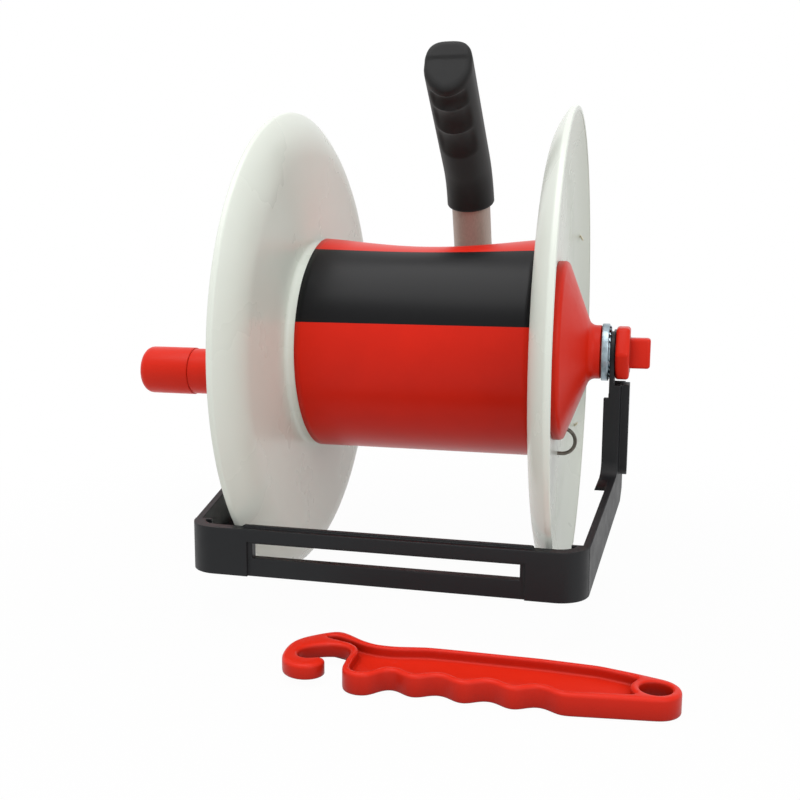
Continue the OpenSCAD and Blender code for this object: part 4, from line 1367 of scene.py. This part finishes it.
@dataclass
class HookHandle:
    """The loose hook handle: one outline with rounded rims, a pocket on each side and the eye.

    Its plans are seen from above, from the middle of the eye, with the hook towards -X.
    """

    eye_at: Triple = (118.6, -146.9, -115.7)
    turn_deg: float = -1.1
    top: float = 4.7
    low: float = -4.3
    hook_low: float = -1.5
    hook_from: Spot = (-119.0, -123.0)
    floors: Spot = (0.5, -1.5)
    rim_w: float = 2.9
    rim_round: float = 1.5
    rim_degs: Sequence[float] = (0.0, 22.5, 45.0, 67.5, 90.0)
    foot_round: float = 0.6
    pocket_round: float = 1.1
    pocket_draft: float = 0.1
    bed_round: float = 0.8
    eye_r: float = 6.2
    eye_wall: float = 3.6
    eye_round: float = 1.0
    eye_sides: int = 48
    end_deg: float = 80.0
    boss_r: float = 9.6
    boss_degs: Spot = (130.0, 228.0)
    wave_start: float = -33.0
    wave_pitch: float = 19.3
    wave_count: int = 4
    wave_steps: int = 10
    wave_mid: float = -12.2
    wave_amp: float = 2.3
    end_more: float = 3.9
    end_lobe: Triple = (-112.0, -10.0, 8.4)
    spacing: float = 1.1
    smoothings: int = 5
    mouth_plan: Plan = field(
        default_factory=lambda: [
            (-121.0, -3.0), (-121.0, 2.5), (-122.3, 6.4), (-125.5, 8.5), (-130.0, 8.8), (-134.5, 7.4),
            (-138.3, 5.0), (-141.6, 1.8), (-142.4, -1.5), (-141.6, -5.0), (-139.4, -7.4), (-136.3, -7.9),
            (-133.7, -6.6), (-131.6, -5.2), (-129.3, -5.9), (-128.0, -8.6), (-128.9, -12.4), (-131.5, -15.2),
        ]
    )
    head_plan: Plan = field(
        default_factory=lambda: [
            (-135.5, -16.6), (-140.5, -15.9), (-144.8, -12.6), (-147.2, -7.5), (-148.3, -1.0), (-148.3, 4.0),
            (-147.6, 8.0), (-145.0, 12.6), (-141.5, 16.4), (-138.0, 19.6), (-134.0, 22.4), (-130.5, 22.8),
            (-126.0, 20.4), (-119.5, 15.9), (-113.0, 13.2), (-105.2, 13.2), (-92.0, 16.0), (-80.0, 16.4),
            (-45.0, 17.0), (-22.0, 16.0), (-8.0, 12.6),
        ]
    )
    pocket_plan: Plan = field(
        default_factory=lambda: [
            (-118.0, -3.0), (-118.0, 3.0), (-119.4, 8.0), (-123.5, 11.5), (-129.0, 13.2), (-134.5, 14.6),
            (-136.6, 16.2), (-135.2, 17.8), (-131.3, 18.2), (-125.5, 15.6), (-119.0, 11.8), (-112.0, 9.8),
            (-105.0, 9.8), (-91.5, 13.0), (-80.0, 13.5), (-45.0, 14.1), (-22.0, 13.1), (-9.0, 9.6),
        ]
    )

    def front(self, step: float) -> float:
        """Gives the front edge's place across the handle.

        Args:
            step: Steps along the wave from the first lobe.

        Returns:
            The place.
        """
        share = limited((step - self.wave_steps * self.wave_count) / (self.wave_steps / 2) + 1)
        drop = self.end_more * (1 - math.cos(math.pi * share)) / 2
        return self.wave_mid - self.wave_amp * math.cos(math.tau * step / self.wave_steps) - drop

    def wave(self, inset: float) -> Plan:
        """Lists the front edge: lobes between the fingers, run into the end lobe, and that lobe.

        Args:
            inset: How far it is drawn in.

        Returns:
            The points, from the eye's side to the hook's.
        """
        edge: Plan = []
        run = self.wave_pitch / self.wave_steps
        for i in range(self.wave_steps * self.wave_count):
            slope = (self.front(i + 0.5) - self.front(i - 0.5)) / run
            edge.append((self.wave_start - i * run, self.front(i) + inset * math.hypot(1, slope)))
        x, y, radius = self.end_lobe
        return edge + bow((x, y), radius - inset, -90, -180)

    def outline(self) -> Plan:
        """Lists the whole outline, clockwise from above."""
        end = bow((0.0, 0.0), self.eye_r + self.eye_wall, self.end_deg, -self.end_deg)
        return self.evened(end + self.wave(0.0) + self.mouth_plan + self.head_plan)

    def pocket(self, in_hook: bool) -> Plan:
        """Lists the pocket's outline, clockwise from above.

        Args:
            in_hook: Whether it runs on into the hook's neck.

        Returns:
            The points.
        """
        far = [p for p in self.pocket_plan if in_hook or p[0] > self.hook_from[0]]
        return self.evened(self.wave(self.rim_w) + far + bow((0.0, 0.0), self.boss_r, *self.boss_degs))

    def evened(self, plan: Plan) -> Plan:
        """Spaces the points of a closed outline evenly and smooths its corners.

        Args:
            plan: The outline.

        Returns:
            The new outline.
        """
        ends = plan[1:] + plan[:1]
        spans = [math.dist(a, b) for a, b in zip(plan, ends)]
        total = sum(spans)
        count = int(total / self.spacing)
        even: Plan = []
        at, done = 0, 0.0
        for i in range(count):
            want = total * i / count
            while done + spans[at] < want:
                done += spans[at]
                at += 1
            share = (want - done) / spans[at]
            even.append(tuple(a + share * (b - a) for a, b in zip(plan[at], ends[at])))
        for _ in range(self.smoothings):
            sides = zip(even[-1:] + even[:-1], even, even[1:] + even[:1])
            even = [tuple((a + 2 * b + c) / 4 for a, b, c in zip(*three)) for three in sides]
        return even

    @staticmethod
    def shifted(plan: Plan, out: float) -> Plan:
        """Moves a clockwise outline outwards.

        Args:
            plan: The outline.
            out: How far, or inwards below 0.

        Returns:
            The new outline.
        """
        moved: Plan = []
        for a, b, c in zip(plan[-1:] + plan[:-1], plan, plan[1:] + plan[:1]):
            run = math.dist(a, c)
            moved.append((b[0] - out * (c[1] - a[1]) / run, b[1] + out * (c[0] - a[0]) / run))
        return moved

    def underside(self, x: float) -> float:
        """Gives the height of the underside at a place along the handle, which rises to the thinner hook."""
        share = limited((x - self.hook_from[0]) / (self.hook_from[1] - self.hook_from[0]))
        return self.low + share * (self.hook_low - self.low)

    def rim(self, plan: Plan, inward: float, radius: float, level: Callable[[float], float]) -> List[Ring]:
        """Lists rings that round one rim, from the wall to the face.

        Args:
            plan: The outline at the wall.
            inward: 1 where the face lies inside the outline, and -1 where it lies outside.
            radius: Radius of the rounding, below 0 for an underside.
            level: Gives the face's height at a place along the handle.

        Returns:
            The rings.
        """
        rings = []
        for turn in (math.radians(deg) for deg in self.rim_degs):
            drawn = self.shifted(plan, -inward * abs(radius) * (1 - math.cos(turn)))
            below = radius * (1 - math.sin(turn))
            rings.append([Vector((*q, level(p[0]) - below)) for p, q in zip(plan, drawn)])
        return rings

    def build(self) -> None:
        """Lofts the outer wall, the eye and both pockets, and fills the faces between them."""
        bm = bmesh.new()
        outline = self.outline()
        eye = bow((0.0, 0.0), self.eye_r, 0, -360, self.eye_sides)[:-1]
        up = self.rim(outline, 1, self.rim_round, lambda x: self.top)
        down = self.rim(outline, 1, -self.foot_round, self.underside)
        low_rim, top_rim = loft(bm, down[::-1] + up)
        up = self.rim(eye, -1, self.eye_round, lambda x: self.top)
        down = self.rim(eye, -1, -self.eye_round, lambda x: self.low)
        low_eye, top_eye = loft(bm, down[::-1] + up)
        for side, rims in ((1, top_rim + top_eye), (-1, low_rim + low_eye)):
            plan = self.pocket(side > 0)
            level, bed_at = (self.top, self.floors[0]) if side > 0 else (self.low, self.floors[1])
            lip = self.rim(plan, -1, side * self.pocket_round, lambda x: level)
            drawn = self.shifted(plan, -self.pocket_draft)
            foot = self.rim(drawn, 1, -side * self.bed_round, lambda x: bed_at)
            edge, bed = loft(bm, lip[::-1] + foot)
            bmesh.ops.triangle_fill(bm, use_beauty=True, edges=rims + edge, normal=(0, 0, side))
            bmesh.ops.triangle_fill(bm, use_beauty=True, edges=bed, normal=(0, 0, side))
        bmesh.ops.recalc_face_normals(bm, faces=bm.faces[:])
        place = Matrix.Translation(Vector(self.eye_at) * MM)
        place @= Matrix.Rotation(math.radians(self.turn_deg), 4, "Z")
        bmesh.ops.transform(bm, matrix=place, verts=bm.verts[:])
        put(bm, "hook_handle_moulding", Body.HOOK, HOOK_ABS, ["hook_handle"], sharp_deg=40.0)


@dataclass(frozen=True)
class Softbox:
    """One square soft lamp, aimed at the drum."""

    name: str
    at: Triple
    wide: float
    watts: float

    def hang(self) -> None:
        """Adds the lamp to the scene."""
        data = bpy.data.lights.new(self.name, "AREA")
        data.size = self.wide * MM
        data.energy = self.watts
        lamp = in_scene(self.name, data)
        lamp.location = Vector(self.at) * MM
        lamp.rotation_euler = (-lamp.location).to_track_quat("-Z", "Y").to_euler()


@dataclass
class Studio:
    """The white sweep, the soft light and the camera of the photograph."""

    floor_z: float = -120.3
    floor_half: float = 4000.0
    camera_at: Triple = (111.64, -525.09, 53.39)
    camera_pitch_deg: float = 8.644
    camera_yaw_deg: float = 13.769
    camera_roll_deg: float = -0.315
    camera_lens: float = 46.279
    camera_sensor: float = 36.0
    camera_near: float = 10.0
    white: Colour = (1.0, 1.0, 1.0, 1.0)
    ambient: float = 0.62
    paper: str = "cfcfcd"
    paper_share: Spot = (0.97, 1.0)
    paper_fade: Spot = (180.0, 420.0)
    lamps: Sequence[Softbox] = (
        Softbox("overhead_softbox", (-250.0, -350.0, 1500.0), 1300.0, 16.0),
        Softbox("front_softbox", (900.0, -1300.0, 700.0), 1000.0, 6.0),
    )

    def seen_directly(self, tree: NodeTree) -> NodeSocket:
        """Gives 1 for camera, glossy and transmission rays.

        Args:
            tree: The nodes that use it.

        Returns:
            The output socket.
        """
        rays = add_node(tree, "ShaderNodeLightPath").outputs
        seen = rays["Is Camera Ray"]
        for kind in ("Is Glossy Ray", "Is Transmission Ray"):
            seen = add_node(tree, MATH, {"operation": "MAXIMUM"}, links={0: seen, 1: rays[kind]}).outputs[0]
        return seen

    def world(self) -> None:
        """Sets an even ambient light with a white background."""
        world = bpy.data.worlds.new("white_sweep")
        bpy.context.scene.world = world
        world.use_nodes = True
        tree = world.node_tree
        tree.nodes.clear()
        parts = {0: self.seen_directly(tree)}
        for index, strength in enumerate((self.ambient, 1.0)):
            light = {"Color": self.white, "Strength": strength}
            parts[index + 1] = add_node(tree, "ShaderNodeBackground", values=light).outputs[0]
        mixed = add_node(tree, "ShaderNodeMixShader", links=parts)
        add_node(tree, "ShaderNodeOutputWorld", links={"Surface": mixed.outputs[0]})

    def floor(self) -> None:
        """Lays the pale floor, white to the camera but with a faint shadow near the reel."""
        bm = bmesh.new()
        bmesh.ops.create_grid(bm, x_segments=1, y_segments=1, size=self.floor_half * MM)
        bmesh.ops.translate(bm, vec=(0.0, 0.0, self.floor_z * MM), verts=bm.verts[:])
        mesh = meshed(bm, "studio_floor")
        paper = bpy.data.materials.new("white_paper")
        paper.use_nodes = True
        tree = paper.node_tree
        tree.nodes.clear()
        matte = add_node(tree, "ShaderNodeBsdfDiffuse", values={"Color": linear(self.paper)})
        glow = add_node(tree, "ShaderNodeEmission", values={"Strength": 1.0})
        place = add_node(tree, "ShaderNodeTexCoord").outputs["Object"]
        away = add_node(tree, "ShaderNodeVectorMath", {"operation": "LENGTH"}, links={0: place})
        near, far = self.paper_fade
        smooth = {"interpolation_type": "SMOOTHSTEP"}
        ranges = span(near * MM, far * MM, *self.paper_share)
        fade = add_node(tree, REMAP, smooth, ranges, {"Value": away.outputs["Value"]})
        both = {0: fade.outputs["Result"], 1: self.seen_directly(tree)}
        share = add_node(tree, MATH, {"operation": "MULTIPLY"}, links=both)
        parts = {0: share.outputs[0], 1: matte.outputs[0], 2: glow.outputs[0]}
        mixed = add_node(tree, "ShaderNodeMixShader", links=parts)
        add_node(tree, "ShaderNodeOutputMaterial", links={"Surface": mixed.outputs[0]})
        mesh.materials.append(paper)
        in_scene("studio_floor", mesh)

    def camera(self) -> None:
        """Stands the camera where the photograph was taken from."""
        data = bpy.data.cameras.new("photo_camera")
        data.lens = self.camera_lens
        data.sensor_width = self.camera_sensor
        data.clip_start = self.camera_near * MM
        camera = in_scene("photo_camera", data)
        camera.location = Vector(self.camera_at) * MM
        yaw = Matrix.Rotation(math.radians(self.camera_yaw_deg), 3, "Z")
        pitch = Matrix.Rotation(math.radians(90 - self.camera_pitch_deg), 3, "X")
        roll = Matrix.Rotation(math.radians(-self.camera_roll_deg), 3, "Z")
        camera.rotation_euler = (yaw @ pitch @ roll).to_euler()
        bpy.context.scene.camera = camera

    def build(self) -> None:
        """Sets up the camera, the floor and the light."""
        bpy.context.scene.view_settings.view_transform = "Standard"
        self.camera()
        self.world()
        self.floor()
        for lamp in self.lamps:
            lamp.hang()


def main() -> None:
    """Builds every sub-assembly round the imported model."""
    logging.basicConfig(level=logging.INFO)
    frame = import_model()
    Studio().build()
    dress = CadDress(frame["nodes"])
    dress.plain(TUBE_STEEL, "handle_tube")
    dress.plain(ZINC, "axle", "tie_screws", "case_screws", "planet_pins", "knob_spindle")
    dress.plain(BRASS, "knob_insert")
    dress.plain(GEAR_ACETAL, "sun_gear", "ring_gear", "planet_1", "planet_2", "planet_3")
    dress.plain(BUSH_NYLON, "drum_bush", "sun_bush", "crank_bush")
    dress.plain(FRAME_NYLON, "carrier")
    dress.rounded("frame", "frame_moulding", Body.FRAME, FRAME_NYLON, size_mm=0.7)
    dress.rounded("rear_yoke", "yoke_moulding", Body.FRAME, FRAME_NYLON, size_mm=0.8)
    dress.rounded("gear_case", "gear_case_moulding", Body.FRAME, RED_ABS, size_mm=1.2)
    dress.rounded("crank_arm", "crank_arm_moulding", Body.CRANK, RED_ABS, size_mm=1.5)
    HookHandle().build()
    WindingDrum().build()
    HubAndBrake().build()
    CrankKnob().build()
    CarryGrip().build()
    TieLoop().build()
    Fasteners().build()


if __name__ == "__main__":
    main()
